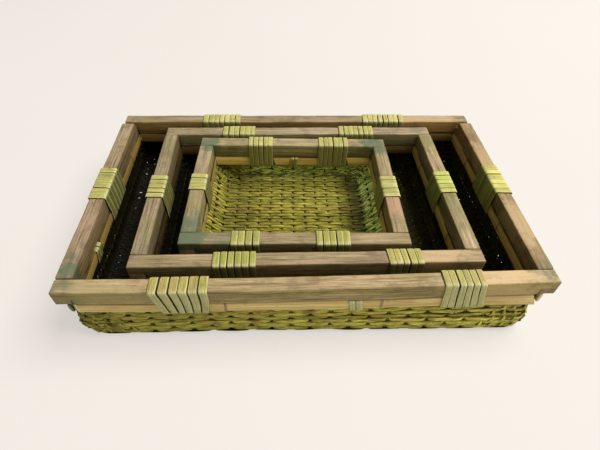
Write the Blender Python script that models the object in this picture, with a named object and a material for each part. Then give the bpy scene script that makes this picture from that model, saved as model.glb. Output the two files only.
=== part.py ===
"""A nest of three rectangular trays of woven rush, each hung from a lapped wooden rim.

Every tray has four rails, a split bamboo strip outside and inside under each rail, a woven
body whose edge is held between the strips, and flat straps wound round rail and strips.
The trays lift out of each other upwards. Lengths are in metres, X runs along the long side,
Y to the back and Z up. The origin is under the middle of the large tray.
"""

import math
from collections import namedtuple

import bmesh
import bpy
import numpy as np
from mathutils import Matrix, Vector

# Gap between pieces that touch
CLEARANCE = 0.0003

# Wooden rails
RAIL_WIDTH = 0.0156
RAIL_HEIGHT = 0.0175
RAIL_EDGE = 0.0008
LAP_SHARE = 0.5
LARGE_BACK_RAIL_SHORT = 0.0027
LARGE_BACK_SHOULDER_GAP = 0.0030
INNER_BACK_RAIL_SHORT = 0.0006
INNER_BACK_SHOULDER_GAP = 0.0005

# Plan of the small rim, over the outer faces of its rails
SMALL_LENGTH = 0.2246
SMALL_DEPTH = 0.1735

# Space between the rails of a tray and of the next larger one, at the ends and along the sides
SMALL_END_SPACE = 0.0376
SMALL_LONG_SPACE = 0.00895
MEDIUM_END_SPACE = 0.0439
MEDIUM_LONG_SPACE = 0.0113

# Place of the inner trays: middle of the rim, from the middle of the large tray
MEDIUM_SHIFT_X = -0.0014
MEDIUM_SHIFT_Y = -0.0011
SMALL_SHIFT_X = -0.0116
SMALL_SHIFT_Y = -0.0005
SMALL_TURN_DEGREES = -1.2

# Depth inside the small tray and thickness of the weave: the rims lie flush
SMALL_INNER_DEPTH = 0.0480
WEAVE_THICKNESS = 0.0084

# Split bamboo strips under the rails
STRIP_THICKNESS = 0.0026
STRIP_HEIGHT = 0.0125
STRIP_CROWN = 0.0007
STRIP_CROWN_SHARE = 0.24
LONG_STRIP_RECESS = 0.0004
LONG_STRIP_PROUD = 0.0005
END_STRIP_RECESS = 0.0092
END_STRIP_PROUD = 0.0015
OUTER_STRIP_END_GAP = 0.0035
INNER_STRIP_END_GAP = 0.0020

# Woven bodies: how far the wall stands in from the rail's outer face where it meets the base
LARGE_LONG_INSET = 0.0012
LARGE_END_INSET = 0.0095
MEDIUM_LONG_INSET = 0.0030
MEDIUM_END_INSET = 0.0180
SMALL_LONG_INSET = 0.0040
SMALL_END_INSET = 0.0246
BULGE = 0.0022
BULGE_START = 0.0020
BULGE_DROP = 0.0080
OUTER_BEND = 0.0070
INNER_BEND = 0.0055
RIM_CORNER = 0.0050
BASE_CORNER = 0.0240
INNER_RIM_CORNER = 0.0030
INNER_BASE_CORNER = 0.0156
CORNER_STEPS = 5
BEND_STEPS = 4

# Straps of the lashings and ties
STRAP_WIDTH = 0.0058
STRAP_GAP = 0.0007
WIDE_STRAP_WIDTH = 0.0074
WIDE_STRAP_GAP = 0.0014
STRAP_THICKNESS = 0.0007
TIE_WIDTH = 0.0042
LEAST_GAP = 0.0004
CHECK_STEPS = 40

# Colours, roughness and metallic value
WOOD = ("weathered_wood", (0.36, 0.27, 0.17, 1.0), 0.68)
BAMBOO = ("split_bamboo", (0.50, 0.35, 0.15, 1.0), 0.45)
RUSH = ("woven_rush", (0.24, 0.24, 0.06, 1.0), 0.60)
STRAP = ("lashing_strap", (0.52, 0.52, 0.20, 1.0), 0.50)

# A lashing's place is the share of its rail's length from the rail's middle to the middle of the
# straps on top of the rail. The lean shares say how many pitches a strap moves sideways on the
# top of the rail and on its outer face.
Lashing = namedtuple("Lashing", "side place_share turns width gap top_share face_share")
Tie = namedtuple("Tie", "side place_share turns width gap")

LARGE_LASHING_SHARES = {
    "front_left": Lashing("front", -0.260, 6, WIDE_STRAP_WIDTH, WIDE_STRAP_GAP, 0.0, 0.30),
    "front_right": Lashing("front", 0.304, 6, STRAP_WIDTH, STRAP_GAP, 0.0, 0.90),
    "back_left": Lashing("back", -0.222, 7, STRAP_WIDTH, STRAP_GAP, 0.0, 1.0),
    "back_right": Lashing("back", 0.243, 8, STRAP_WIDTH, STRAP_GAP, 0.20, 0.80),
    "left": Lashing("left", 0.013, 6, WIDE_STRAP_WIDTH, STRAP_GAP, 0.10, 0.90),
    "right": Lashing("right", 0.020, 6, WIDE_STRAP_WIDTH, STRAP_GAP, -0.10, 1.1),
}
MEDIUM_LASHING_SHARES = {
    "front_left": Lashing("front", -0.209, 6, STRAP_WIDTH, STRAP_GAP, 0.0, 0.10),
    "front_right": Lashing("front", 0.273, 5, STRAP_WIDTH, STRAP_GAP, 0.15, 0.10),
    "back_left": Lashing("back", -0.226, 6, STRAP_WIDTH, STRAP_GAP, 0.0, 1.0),
    "back_right": Lashing("back", 0.217, 7, STRAP_WIDTH, STRAP_GAP, 0.10, 0.90),
    "left": Lashing("left", -0.006, 5, STRAP_WIDTH, WIDE_STRAP_GAP, 0.10, 0.90),
    "right": Lashing("right", 0.011, 5, STRAP_WIDTH, WIDE_STRAP_GAP, 0.10, 0.90),
}
SMALL_LASHING_SHARES = {
    "front_left": Lashing("front", -0.214, 4, STRAP_WIDTH, WIDE_STRAP_GAP, 0.0, 0.10),
    "front_right": Lashing("front", 0.162, 5, STRAP_WIDTH, STRAP_GAP, 0.0, 0.10),
    "back_left": Lashing("back", -0.176, 5, STRAP_WIDTH, STRAP_GAP, 0.0, 1.0),
    "back_right": Lashing("back", 0.216, 6, STRAP_WIDTH, STRAP_GAP, 0.0, 1.0),
    "left": Lashing("left", 0.013, 4, STRAP_WIDTH, STRAP_GAP, 0.10, 0.90),
    "right": Lashing("right", -0.018, 5, STRAP_WIDTH, STRAP_GAP, 0.10, 0.90),
}
LARGE_TIE_SHARES = {
    "front": Tie("front", 0.087, 2, STRAP_WIDTH, STRAP_GAP),
    "left": Tie("left", -0.255, 2, STRAP_WIDTH, STRAP_GAP),
}
SMALL_TIE_SHARES = {"back": Tie("back", 0.007, 2, TIE_WIDTH, STRAP_GAP)}

Tray = namedtuple(
    "Tray",
    "name length depth height long_inset end_inset back_short back_gap lashings ties empty",
)

# Direction along each side and direction outwards
SIDES = {
    "front": (Vector((1, 0, 0)), Vector((0, -1, 0))),
    "back": (Vector((1, 0, 0)), Vector((0, 1, 0))),
    "left": (Vector((0, 1, 0)), Vector((-1, 0, 0))),
    "right": (Vector((0, 1, 0)), Vector((1, 0, 0))),
}


def clear_scene():
    for obj in list(bpy.data.objects):
        bpy.data.objects.remove(obj)


def material(name, colour, roughness):
    made = bpy.data.materials.get(name) or bpy.data.materials.new(name)
    made.use_nodes = True
    made.diffuse_color = colour
    shader = made.node_tree.nodes["Principled BSDF"]
    shader.inputs["Base Color"].default_value = colour
    shader.inputs["Roughness"].default_value = roughness
    shader.inputs["Metallic"].default_value = 0.0
    return made


def add_object(name, bm, parent, finish=None):
    """An object from a bmesh, its faces turned outwards. Without a finish it is a cutter."""
    if finish:
        bmesh.ops.recalc_face_normals(bm, faces=bm.faces)
        if bm.calc_volume(signed=True) < 0:
            bmesh.ops.reverse_faces(bm, faces=bm.faces)
    mesh = bpy.data.meshes.new(name)
    bm.to_mesh(mesh)
    bm.free()
    obj = bpy.data.objects.new(name, mesh)
    bpy.context.scene.collection.objects.link(obj)
    obj.parent = parent
    if finish:
        mesh.materials.append(material(*finish))
    else:
        obj.hide_render = True
        obj.display_type = "WIRE"
    return obj


def add_bevel(obj):
    bevel = obj.modifiers.new("worn edges", "BEVEL")
    bevel.width = RAIL_EDGE
    bevel.segments = 1
    bevel.limit_method = "ANGLE"


def cut(obj, cutter):
    difference = obj.modifiers.new("cut " + cutter.name, "BOOLEAN")
    difference.operation = "DIFFERENCE"
    difference.solver = "EXACT"
    difference.object = cutter


def side_size(tray, side):
    """Length of a side, and distance of its rail's outer face from the middle of the tray."""
    if side in ("front", "back"):
        return tray.length, tray.depth / 2
    return tray.depth, tray.length / 2


def side_matrix(tray, side):
    """From (along, out, up) to the tray's axes. Out is zero on the rail's inner face and up is
    zero on the tray's base."""
    along, out = SIDES[side]
    reach = side_size(tray, side)[1] - RAIL_WIDTH
    matrix = Matrix.Identity(4)
    for column, direction in enumerate((along, out, Vector((0, 0, 1)))):
        for row in range(3):
            matrix[row][column] = direction[row]
    matrix.translation = out * reach
    return matrix


def prism(outline, sweep):
    """A solid swept from a flat outline of points."""
    bm = bmesh.new()
    face = bm.faces.new([bm.verts.new(point) for point in outline])
    swept = bmesh.ops.extrude_face_region(bm, geom=[face])["geom"]
    moved = [item for item in swept if isinstance(item, bmesh.types.BMVert)]
    bmesh.ops.translate(bm, verts=moved, vec=sweep)
    return bm


def rim_height(tray):
    """Height of the edge of the woven body and of the tops of the strips."""
    return tray.height - RAIL_HEIGHT - CLEARANCE


def strip_faces(side):
    """Out values of the inner strip's inner face and of the outer strip's outer face."""
    if side in ("front", "back"):
        return -LONG_STRIP_PROUD, RAIL_WIDTH - LONG_STRIP_RECESS
    return -END_STRIP_PROUD, RAIL_WIDTH - END_STRIP_RECESS


def build_rail(tray, side):
    """Front and back rails lie on top at the corners, and the end rails pass under them."""
    length = side_size(tray, side)[0]
    top = tray.height
    bottom = top - RAIL_HEIGHT
    lap = top - RAIL_HEIGHT * LAP_SHARE
    if side in ("front", "back"):
        tongue = length / 2 - (tray.back_short if side == "back" else 0)
        shoulder = length / 2 - RAIL_WIDTH - CLEARANCE
        lap += CLEARANCE / 2
        outline = [
            (-tongue, top),
            (-tongue, lap),
            (-shoulder, lap),
            (-shoulder, bottom),
            (shoulder, bottom),
            (shoulder, lap),
            (tongue, lap),
            (tongue, top),
        ]
    else:
        foot = length / 2
        front = length / 2 - RAIL_WIDTH - CLEARANCE
        back = length / 2 - RAIL_WIDTH - tray.back_gap
        lap -= CLEARANCE / 2
        outline = [
            (-foot, lap),
            (-foot, bottom),
            (foot, bottom),
            (foot, lap),
            (back, lap),
            (back, top),
            (-front, top),
            (-front, lap),
        ]
    bm = prism([Vector((a, 0, z)) for a, z in outline], Vector((0, RAIL_WIDTH, 0)))
    bm.transform(side_matrix(tray, side))
    rail = add_object(f"{tray.name}_{side}_rail", bm, tray.empty, WOOD)
    add_bevel(rail)
    return rail


def strip_half_length(tray, side, face):
    """The long strips stop short of the end strips, which close the corners."""
    long_inner, long_outer = strip_faces("front")
    end_inner, end_outer = strip_faces("left")
    long_reach = tray.depth / 2 - RAIL_WIDTH
    end_reach = tray.length / 2 - RAIL_WIDTH
    if face == "outer":
        if side in ("front", "back"):
            return end_reach + end_outer - STRIP_THICKNESS - OUTER_STRIP_END_GAP
        return long_reach + long_outer
    if side in ("front", "back"):
        return end_reach + end_inner - CLEARANCE
    return long_reach + long_inner + STRIP_THICKNESS - INNER_STRIP_END_GAP


def build_strip(tray, side, face):
    """A split strip: flat towards the weave and crowned on the face that shows."""
    inner, outer = strip_faces(side)
    show, turn = (outer, -1) if face == "outer" else (inner, 1)
    back = show + turn * STRIP_THICKNESS
    edge = show + turn * STRIP_CROWN
    top = rim_height(tray)
    bottom = top - STRIP_HEIGHT
    flat = STRIP_HEIGHT * STRIP_CROWN_SHARE
    half = strip_half_length(tray, side, face)
    outline = [
        (back, top),
        (edge, top),
        (show, top - flat),
        (show, bottom + flat),
        (edge, bottom),
        (back, bottom),
    ]
    bm = prism([Vector((-half, out, z)) for out, z in outline], Vector((2 * half, 0, 0)))
    bm.transform(side_matrix(tray, side))
    return add_object(f"{tray.name}_{side}_{face}_strip", bm, tray.empty, BAMBOO)


def bend(wall, corner, radius):
    """Points of a rounded corner between a leaning wall and a level base, from the wall down."""
    lean = (corner[0] - wall[0]) / (wall[1] - corner[1])
    start = (corner[0] - lean * radius, corner[1] + radius)
    end = (corner[0] + radius, corner[1])
    points = []
    for step in range(BEND_STEPS + 1):
        t = step / BEND_STEPS
        weights = ((1 - t) ** 2, 2 * t * (1 - t), t * t)
        points.append(
            tuple(sum(w * p[axis] for w, p in zip(weights, (start, corner, end))) for axis in (0, 1))
        )
    return points


def wall_profiles(tray, side, inset):
    """Outer and inner outline of a wall as (distance in from the rail's outer face, height)."""
    inner_strip, outer_strip = strip_faces(side)
    rim = rim_height(tray)
    strip_foot = rim - STRIP_HEIGHT
    outer_held = RAIL_WIDTH - outer_strip + STRIP_THICKNESS + CLEARANCE
    inner_held = RAIL_WIDTH - inner_strip - STRIP_THICKNESS - CLEARANCE
    waist = (outer_held, strip_foot - BULGE_START)
    swell = (outer_held - BULGE, strip_foot - BULGE_DROP)
    corner = (max(inset, outer_held - BULGE), 0)
    outer = [(outer_held, rim), waist]
    if inset <= outer_held + BULGE:
        outer += [swell] + bend(swell, corner, OUTER_BEND)
    else:
        outer += bend(waist, corner, OUTER_BEND)
    held = (inner_held, strip_foot)
    floor_corner = (max(inset + WEAVE_THICKNESS, inner_held), WEAVE_THICKNESS)
    inner = [(inner_held, rim), held] + bend(held, floor_corner, INNER_BEND)
    return outer, inner


def rounded_loop(half_x, half_y, radius, z):
    points = []
    for quarter, (sx, sy) in enumerate(((1, 1), (-1, 1), (-1, -1), (1, -1))):
        for step in range(CORNER_STEPS + 1):
            angle = math.pi / 2 * (quarter + step / CORNER_STEPS)
            x = sx * (half_x - radius) + radius * math.cos(angle)
            y = sy * (half_y - radius) + radius * math.sin(angle)
            points.append(Vector((x, y, z)))
    return points


def shell_loops(tray, long_profile, end_profile, rim_corner, base_corner):
    """Rounded outlines of one surface of the body, from the rim down, where either profile bends.
    The corners stay tight between the strips and widen below them."""
    heights = sorted({z for _, z in long_profile + end_profile}, reverse=True)
    foot, low = rim_height(tray) - STRIP_HEIGHT, heights[-1]
    loops = []
    for z in heights:
        insets = [
            np.interp(z, [p[1] for p in reversed(profile)], [p[0] for p in reversed(profile)])
            for profile in (long_profile, end_profile)
        ]
        radius = rim_corner + (base_corner - rim_corner) * max(0, foot - z) / (foot - low)
        loops.append(
            rounded_loop(tray.length / 2 - insets[1], tray.depth / 2 - insets[0], radius, z)
        )
    return loops


def bridge(bm, upper, lower):
    for index in range(len(upper)):
        after = (index + 1) % len(upper)
        bm.faces.new((upper[index], upper[after], lower[after], lower[index]))


def build_woven_body(tray):
    """An open shell: its edge stands between the strips, its walls lean in and its base is flat."""
    long_outer, long_inner = wall_profiles(tray, "front", tray.long_inset)
    end_outer, end_inner = wall_profiles(tray, "left", tray.end_inset)
    bm = bmesh.new()
    outer = shell_loops(tray, long_outer, end_outer, RIM_CORNER, BASE_CORNER)
    inner = shell_loops(tray, long_inner, end_inner, INNER_RIM_CORNER, INNER_BASE_CORNER)
    surfaces = [[[bm.verts.new(point) for point in loop] for loop in loops] for loops in (outer, inner)]
    for rows in surfaces:
        for upper, lower in zip(rows, rows[1:]):
            bridge(bm, upper, lower)
        bm.faces.new(rows[-1])
    bridge(bm, surfaces[0][0], surfaces[1][0])
    return add_object(f"{tray.name}_woven_body", bm, tray.empty, RUSH)


def offset_outline(outline, distance):
    """The outline of a convex section, moved outwards by a distance, with its corners kept."""
    moved = []
    count = len(outline)
    for index, (u, z) in enumerate(outline):
        normals = []
        for start, end in ((index - 1, index), (index, (index + 1) % count)):
            run = Vector(outline[end]) - Vector(outline[start])
            normals.append(Vector((-run.y, run.x)).normalized())
        bisector = (normals[0] + normals[1]).normalized()
        reach = distance / bisector.dot(normals[0])
        moved.append((u + bisector.x * reach, z + bisector.y * reach))
    return moved


def rail_section(tray, side):
    """What a lashing is drawn round, from the foot of the inner strip over the rail: rail and strips."""
    inner, outer = strip_faces(side)
    top = tray.height
    foot = rim_height(tray) - STRIP_HEIGHT
    return [
        (inner, foot),
        (inner, rim_height(tray)),
        (0, top),
        (RAIL_WIDTH, top),
        (RAIL_WIDTH, top - RAIL_HEIGHT),
        (outer, foot),
    ]


def strip_section(tray, side):
    """What a tie is drawn round: the two strips, with room for the tie under the rail."""
    inner, outer = strip_faces(side)
    top = rim_height(tray) - STRAP_THICKNESS - CLEARANCE
    foot = rim_height(tray) - STRIP_HEIGHT
    return [(inner, foot), (inner, top), (outer, top), (outer, foot)]


def turn_leans(section, top_share, face_share):
    """Share of the pitch by which the strap moves sideways on each side of the section, from its
    first corner on. The sides that go up inside take what is left of one pitch."""
    corners = [Vector(point) for point in section]
    sides = list(zip(corners, corners[1:] + corners[:1]))
    lengths = [(end - start).length for start, end in sides]
    top = len(section) // 2 - 1
    leans = [0.0] * len(section)
    inside_share = 1 - top_share - face_share
    inside = range(top)
    outside = range(top + 1, len(section) - 1)
    for group, share in ((inside, inside_share), ([top], top_share), (outside, face_share)):
        total = sum(lengths[index] for index in group)
        for index in group:
            leans[index] = share * lengths[index] / total
    return leans, inside_share + top_share / 2


def strap_stations(section, winding, middle):
    """Stations of the strap: (along, inner point, outer point) at each corner of each turn."""
    pitch = winding.width + winding.gap
    inner = offset_outline(section, CLEARANCE)
    outer = offset_outline(section, CLEARANCE + STRAP_THICKNESS)
    top_share = getattr(winding, "top_share", 0.0)
    face_share = getattr(winding, "face_share", 0.0)
    leans, before_top_share = turn_leans(section, top_share, face_share)
    along = middle - pitch * (winding.turns - 1) / 2 - pitch * before_top_share
    stations = []
    for step in range(winding.turns * len(section)):
        corner = step % len(section)
        stations.append((along, inner[corner], outer[corner]))
        along += pitch * leans[corner]
    return stations


def edge_points(stations, offset):
    """Points along both edges of one side of a strap, between its stations."""
    points = []
    for start, end in zip(stations, stations[1:]):
        for step in range(CHECK_STEPS):
            t = step / CHECK_STEPS
            along = start[0] * (1 - t) + end[0] * t + offset
            for face in (1, 2):
                out = start[face][0] * (1 - t) + end[face][0] * t
                up = start[face][1] * (1 - t) + end[face][1] * t
                points.append((along, out, up))
    return np.array(points)


def least_gap(stations, corners, width):
    """Least distance between each turn and the next, measured between points on their edges."""
    gaps = []
    for first in range(0, len(stations) - corners, corners):
        turn = edge_points(stations[first:first + corners + 1], width / 2)
        after = edge_points(stations[first + corners:first + 2 * corners + 1], -width / 2)
        gaps.append(np.linalg.norm(turn[:, None] - after[None], axis=2).min())
    return min(gaps)


def build_winding(tray, name, winding, section):
    """One unbroken flat strap wound round a section, and the box that it takes under the strips."""
    side = winding.side
    middle = winding.place_share * side_size(tray, side)[0]
    stations = strap_stations(section, winding, middle)
    gap = least_gap(stations, len(section), winding.width)
    verdict = "over" if gap > LEAST_GAP else "not over"
    print(f"{name}: {winding.turns} turns, least gap to itself {gap:.5f} m, {verdict} {LEAST_GAP} m")
    bm = bmesh.new()
    rings = []
    for along, near, away in stations:
        left, right = along - winding.width / 2, along + winding.width / 2
        ring = [(left, *near), (right, *near), (right, *away), (left, *away)]
        rings.append([bm.verts.new(point) for point in ring])
    for upper, lower in zip(rings, rings[1:]):
        bridge(bm, upper, lower)
    bm.faces.new(rings[0])
    bm.faces.new(rings[-1])
    bm.transform(side_matrix(tray, side))
    add_object(name, bm, tray.empty, STRAP)
    crossing = [s[0] for i, s in enumerate(stations) if i % len(section) in (0, len(section) - 1)]
    margin = winding.width / 2 + CLEARANCE
    return min(crossing) - margin, max(crossing) + margin


def add_box(bm, matrix, lows, highs):
    """A box between two corners given along, out and up, with its faces turned outwards."""
    lows, highs = Vector(lows), Vector(highs)
    place = Matrix.Translation((lows + highs) / 2) @ Matrix.Diagonal((*(highs - lows), 1))
    box = bmesh.ops.create_cube(bm, size=1, matrix=matrix @ place)
    if matrix.determinant() < 0:
        faces = {face for vert in box["verts"] for face in vert.link_faces}
        bmesh.ops.reverse_faces(bm, faces=list(faces))


def build_windings(tray, body, strips):
    """Lashings and ties, the slots that they take through the weave and the ties' notches on top."""
    slots = bmesh.new()
    notches = bmesh.new()
    foot = rim_height(tray) - STRIP_HEIGHT
    overrun = RAIL_WIDTH
    for place, lashing in tray.lashings.items():
        name = f"{tray.name}_{place}_lashing"
        ends = build_winding(tray, name, lashing, rail_section(tray, lashing.side))
        low = foot - STRAP_THICKNESS - 2 * CLEARANCE
        lows, highs = (ends[0], -overrun, low), (ends[1], RAIL_WIDTH + overrun, foot)
        add_box(slots, side_matrix(tray, lashing.side), lows, highs)
    for place, tie in tray.ties.items():
        ends = build_winding(tray, f"{tray.name}_{place}_tie", tie, strip_section(tray, tie.side))
        low = foot - STRAP_THICKNESS - 2 * CLEARANCE
        lows, highs = (ends[0], -overrun, low), (ends[1], RAIL_WIDTH + overrun, foot)
        add_box(slots, side_matrix(tray, tie.side), lows, highs)
        low = rim_height(tray) - STRAP_THICKNESS - CLEARANCE
        high = rim_height(tray) + RAIL_HEIGHT / 2
        lows, highs = (ends[0], -overrun, low), (ends[1], RAIL_WIDTH + overrun, high)
        add_box(notches, side_matrix(tray, tie.side), lows, highs)
    cut(body, add_object(f"{tray.name}_slot_cutter", slots, tray.empty))
    if not tray.ties:
        notches.free()
        return
    notch_cutter = add_object(f"{tray.name}_notch_cutter", notches, tray.empty)
    cut(body, notch_cutter)
    for tie in tray.ties.values():
        for face in ("outer", "inner"):
            cut(strips[tie.side, face], notch_cutter)


def build_tray(tray):
    for side in SIDES:
        build_rail(tray, side)
    strips = {(side, face): build_strip(tray, side, face) for side in SIDES for face in ("outer", "inner")}
    body = build_woven_body(tray)
    build_windings(tray, body, strips)


def tray_empty(name, parent, location, turn):
    empty = bpy.data.objects.new(name, None)
    bpy.context.scene.collection.objects.link(empty)
    empty.parent = parent
    empty.location = location
    empty.rotation_euler = (0, 0, turn)
    return empty


def main():
    clear_scene()
    step = WEAVE_THICKNESS + CLEARANCE
    small_height = SMALL_INNER_DEPTH + WEAVE_THICKNESS
    medium_height = small_height + step
    large_height = medium_height + step
    medium_length = SMALL_LENGTH + 2 * (SMALL_END_SPACE + RAIL_WIDTH)
    medium_depth = SMALL_DEPTH + 2 * (SMALL_LONG_SPACE + RAIL_WIDTH)
    large_length = medium_length + 2 * (MEDIUM_END_SPACE + RAIL_WIDTH)
    large_depth = medium_depth + 2 * (MEDIUM_LONG_SPACE + RAIL_WIDTH)
    large = tray_empty("large_tray", None, (0, 0, 0), 0)
    medium = tray_empty("medium_tray", large, (MEDIUM_SHIFT_X, MEDIUM_SHIFT_Y, step), 0)
    small_place = (SMALL_SHIFT_X - MEDIUM_SHIFT_X, SMALL_SHIFT_Y - MEDIUM_SHIFT_Y, step)
    small = tray_empty("small_tray", medium, small_place, math.radians(SMALL_TURN_DEGREES))
    build_tray(Tray(
        "large", large_length, large_depth, large_height, LARGE_LONG_INSET, LARGE_END_INSET,
        LARGE_BACK_RAIL_SHORT, LARGE_BACK_SHOULDER_GAP, LARGE_LASHING_SHARES, LARGE_TIE_SHARES, large,
    ))
    build_tray(Tray(
        "medium", medium_length, medium_depth, medium_height, MEDIUM_LONG_INSET, MEDIUM_END_INSET,
        INNER_BACK_RAIL_SHORT, INNER_BACK_SHOULDER_GAP, MEDIUM_LASHING_SHARES, {}, medium,
    ))
    build_tray(Tray(
        "small", SMALL_LENGTH, SMALL_DEPTH, small_height, SMALL_LONG_INSET, SMALL_END_INSET,
        INNER_BACK_RAIL_SHORT, INNER_BACK_SHOULDER_GAP, SMALL_LASHING_SHARES, SMALL_TIE_SHARES, small,
    ))


main()
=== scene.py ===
"""A nest of three woven rush trays: rails, strips, weave and lashings, in a plain studio.

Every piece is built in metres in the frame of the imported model, X along the long side, Y to the back
and Z up, and stands for the CAD node whose name it takes. Tones are sRGB values of 0 to 255, and
shades are factors on a colour.
"""

import math
import random
from collections import namedtuple

import bmesh
import bpy
import numpy as np
from mathutils import Matrix, Vector, noise


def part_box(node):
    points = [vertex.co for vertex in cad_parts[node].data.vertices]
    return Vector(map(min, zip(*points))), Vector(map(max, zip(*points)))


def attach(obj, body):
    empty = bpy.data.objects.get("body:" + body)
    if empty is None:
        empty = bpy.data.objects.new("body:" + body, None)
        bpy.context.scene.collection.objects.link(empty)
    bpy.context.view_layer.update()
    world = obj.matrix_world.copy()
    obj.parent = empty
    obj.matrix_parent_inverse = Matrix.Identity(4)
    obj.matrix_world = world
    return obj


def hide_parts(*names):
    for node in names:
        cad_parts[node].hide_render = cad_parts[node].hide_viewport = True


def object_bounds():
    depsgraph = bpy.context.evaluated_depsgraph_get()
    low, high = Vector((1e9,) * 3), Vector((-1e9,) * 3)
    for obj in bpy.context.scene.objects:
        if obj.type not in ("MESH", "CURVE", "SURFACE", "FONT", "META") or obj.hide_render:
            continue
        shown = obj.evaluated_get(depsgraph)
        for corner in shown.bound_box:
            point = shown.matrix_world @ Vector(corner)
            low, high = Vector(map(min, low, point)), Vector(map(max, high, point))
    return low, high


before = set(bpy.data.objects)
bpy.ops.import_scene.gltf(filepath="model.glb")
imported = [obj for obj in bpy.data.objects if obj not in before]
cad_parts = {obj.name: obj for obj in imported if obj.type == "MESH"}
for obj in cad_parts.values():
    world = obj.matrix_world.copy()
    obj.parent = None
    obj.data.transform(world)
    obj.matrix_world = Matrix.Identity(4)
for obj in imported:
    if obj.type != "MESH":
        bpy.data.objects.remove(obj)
CAD_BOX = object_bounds()
TRAYS = ("large", "medium", "small")

# Turn of the small tray in the nest, seen from above
SMALL_TURN = math.radians(-1.2)

# Rails: their laps, worn edges and unevenness, and the step between the cuts along them
LAP_SHARE = 0.5
LAP_GAP = 0.0003
BACK_SHOULDER_GAPS = {"large": 0.0030, "medium": 0.0005, "small": 0.0005}
RAIL_EDGE = 0.0013
RAIL_EDGE_SEGMENTS = 3
RAIL_WAVE = 0.00035
RAIL_WAVE_RATES = (18, 22)
RAIL_WAVE_MEAN = 0.3
WORN_SHARE = 0.6
WORN_RATES = (160, 300)
RAIL_STATION = 0.006
SHARP_ANGLE = math.radians(50)
CUT_TOLERANCE = 1e-6

# Bamboo strips: the crown of their outer face, the swollen rings of their nodes and their waves
STRIP_STATION = 0.004
STRIP_CROWN = 0.0007
CROWN_SHARES = (0.0, 0.10, 0.30, 0.55, 0.78, 0.93, 1.0)
CROWN_POWER = 2.6
NODE_SWELL = 0.00035
NODE_REACH = 0.0016
NODE_SHARES = ((0.12, 0.35), (0.55, 0.85))
STRIP_WAVE = 0.00025
STRIP_WAVE_RATES = (30, 24)
END_SLANT = 0.002

# Weave: pitches of the floor's strands and of the walls' rows, and form and reach of one strand
FLOOR_PITCH = 0.00478
WALL_PITCH = 0.0050
STRAND_THICKNESS = 0.0027
STRAND_THIN_SHARE = 0.72
STRAND_SIZES = (0.93, 1.07)
STRAND_LIFT = 0.0003
SWELL_SHARE = 0.16
DRIFT_RATE = 34
SWELL_RATE = 60
HELD_WAVE_SHARE = 0.32
LOOSE_WAVE_SHARE = 0.3
STRAND_TOP = 0.0020
STRAND_END = 0.0008
ROW_STEP = 0.004
ROW_EDGE = 0.009
ROW_PAST_CORNER = 0.0200
CORNER_POINTS = 12
CLIMB_LIMIT_SHARE = 0.25

# Distances below and above the strips' foot between which they come to hold the weave flat
FLOOR_STRAND_HELD = (0.006, 0.002)
WALL_ROW_HELD = (0.004, 0.004)
HELD_THIN_SHARE = 0.25

# Places of a strand's points round each stake that it dives behind, as shares of the stakes' spacing
POINT_SHARES = (-0.74, -0.45, -0.26, -0.15, -0.07, 0.0, 0.07, 0.15, 0.26, 0.45, 0.74, 1.0)

# Stakes, which wander sideways, and how much of the painted seam shade of a strand's edge the large and the
# medium tray's take
STAKE_WIDTH = 0.0026
STAKE_THICKNESS = 0.0015
STAKE_STEP = 0.006
STAKE_WARP = 0.0016
WARP_RATES = (21, 17)
STAKE_EDGE_SHARE = 0.76
END_STAKES = 7
END_STAKE_BEND = (-0.002, 0.030)
END_STAKE_DOWN = 0.004
END_STAKE_RISE = 0.003

# Strands that climb slantwise round the corners
CORNER_PITCH = 0.0052
CORNER_SLOPE = 1.75
CORNER_STEP = 0.003
CORNER_WAVE = 0.0029
CORNER_SPACING = 0.0082
CORNER_STRAY = 0.002
CORNER_LAST = 0.004
CORNER_WIDTHS = (0.9, 1.1)
CORNER_START = (-0.05, 0.12)
CORNER_HELD_SHARES = (0.7, 0.3)
CORNER_WIDTH_SHARES = (0.60, 0.34)
CORNER_THICK_SHARES = (0.75, 0.20)
CORNER_POWER = 0.8
FLOOR_MARGIN = 0.001

# The walls' form: their bends, the radius of their corners and how far they belly out
BEND_STEPS = 8
HELD_BEND = 0.003
HELD_DROP = 0.002
WALL_DROP = 0.010
FLOOR_RUN = 0.060
LEAN_STEP = 0.0005
FLAT_MARGIN = 0.0001
FLOOR_BEND_SHARE = 0.8
STAKE_CORNER_SHARE = 0.7
RIM_RADIUS = 0.0045
BASE_RADIUS = 0.0180
FRONT_BELLY = 0.0022
RIGHT_BELLY = 0.0042
END_BELLY = 0.0012
RIGHT_END_BELLY = 0.0022
LEFT_CORNER_BELLY = 0.0045

# Where they belly out: distances from the walls at which it starts and is full, and heights at which
# it is full and ends, as shares of the strips' height
LONG_BELLY_REACH = (0.040, 0.006)
END_BELLY_REACH = (0.070, 0.020)
BELLY_HEIGHTS = (0.25, 0.88)

# Distances from the walls at which the weave starts to take painted light and shade and has taken it in full:
# painted light on the small tray's back and right walls, less in its back left corner, where the light falls,
# and painted shade inside the other trays
LIT_CORNER = (0.062, 0.040)
LIT_CORNER_DEPTH = 0.9
SMALL_BACK_LIGHT_REACH = (0.030, 0.018)
SMALL_RIGHT_LIGHT_REACH = (0.042, 0.030)
SMALL_BACK_LIGHT_DEPTH = 0.84
INSIDE_END_SHADE_REACH = (0.110, 0.066)
INSIDE_LONG_SHADE_REACH = (0.020, 0.012)

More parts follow.
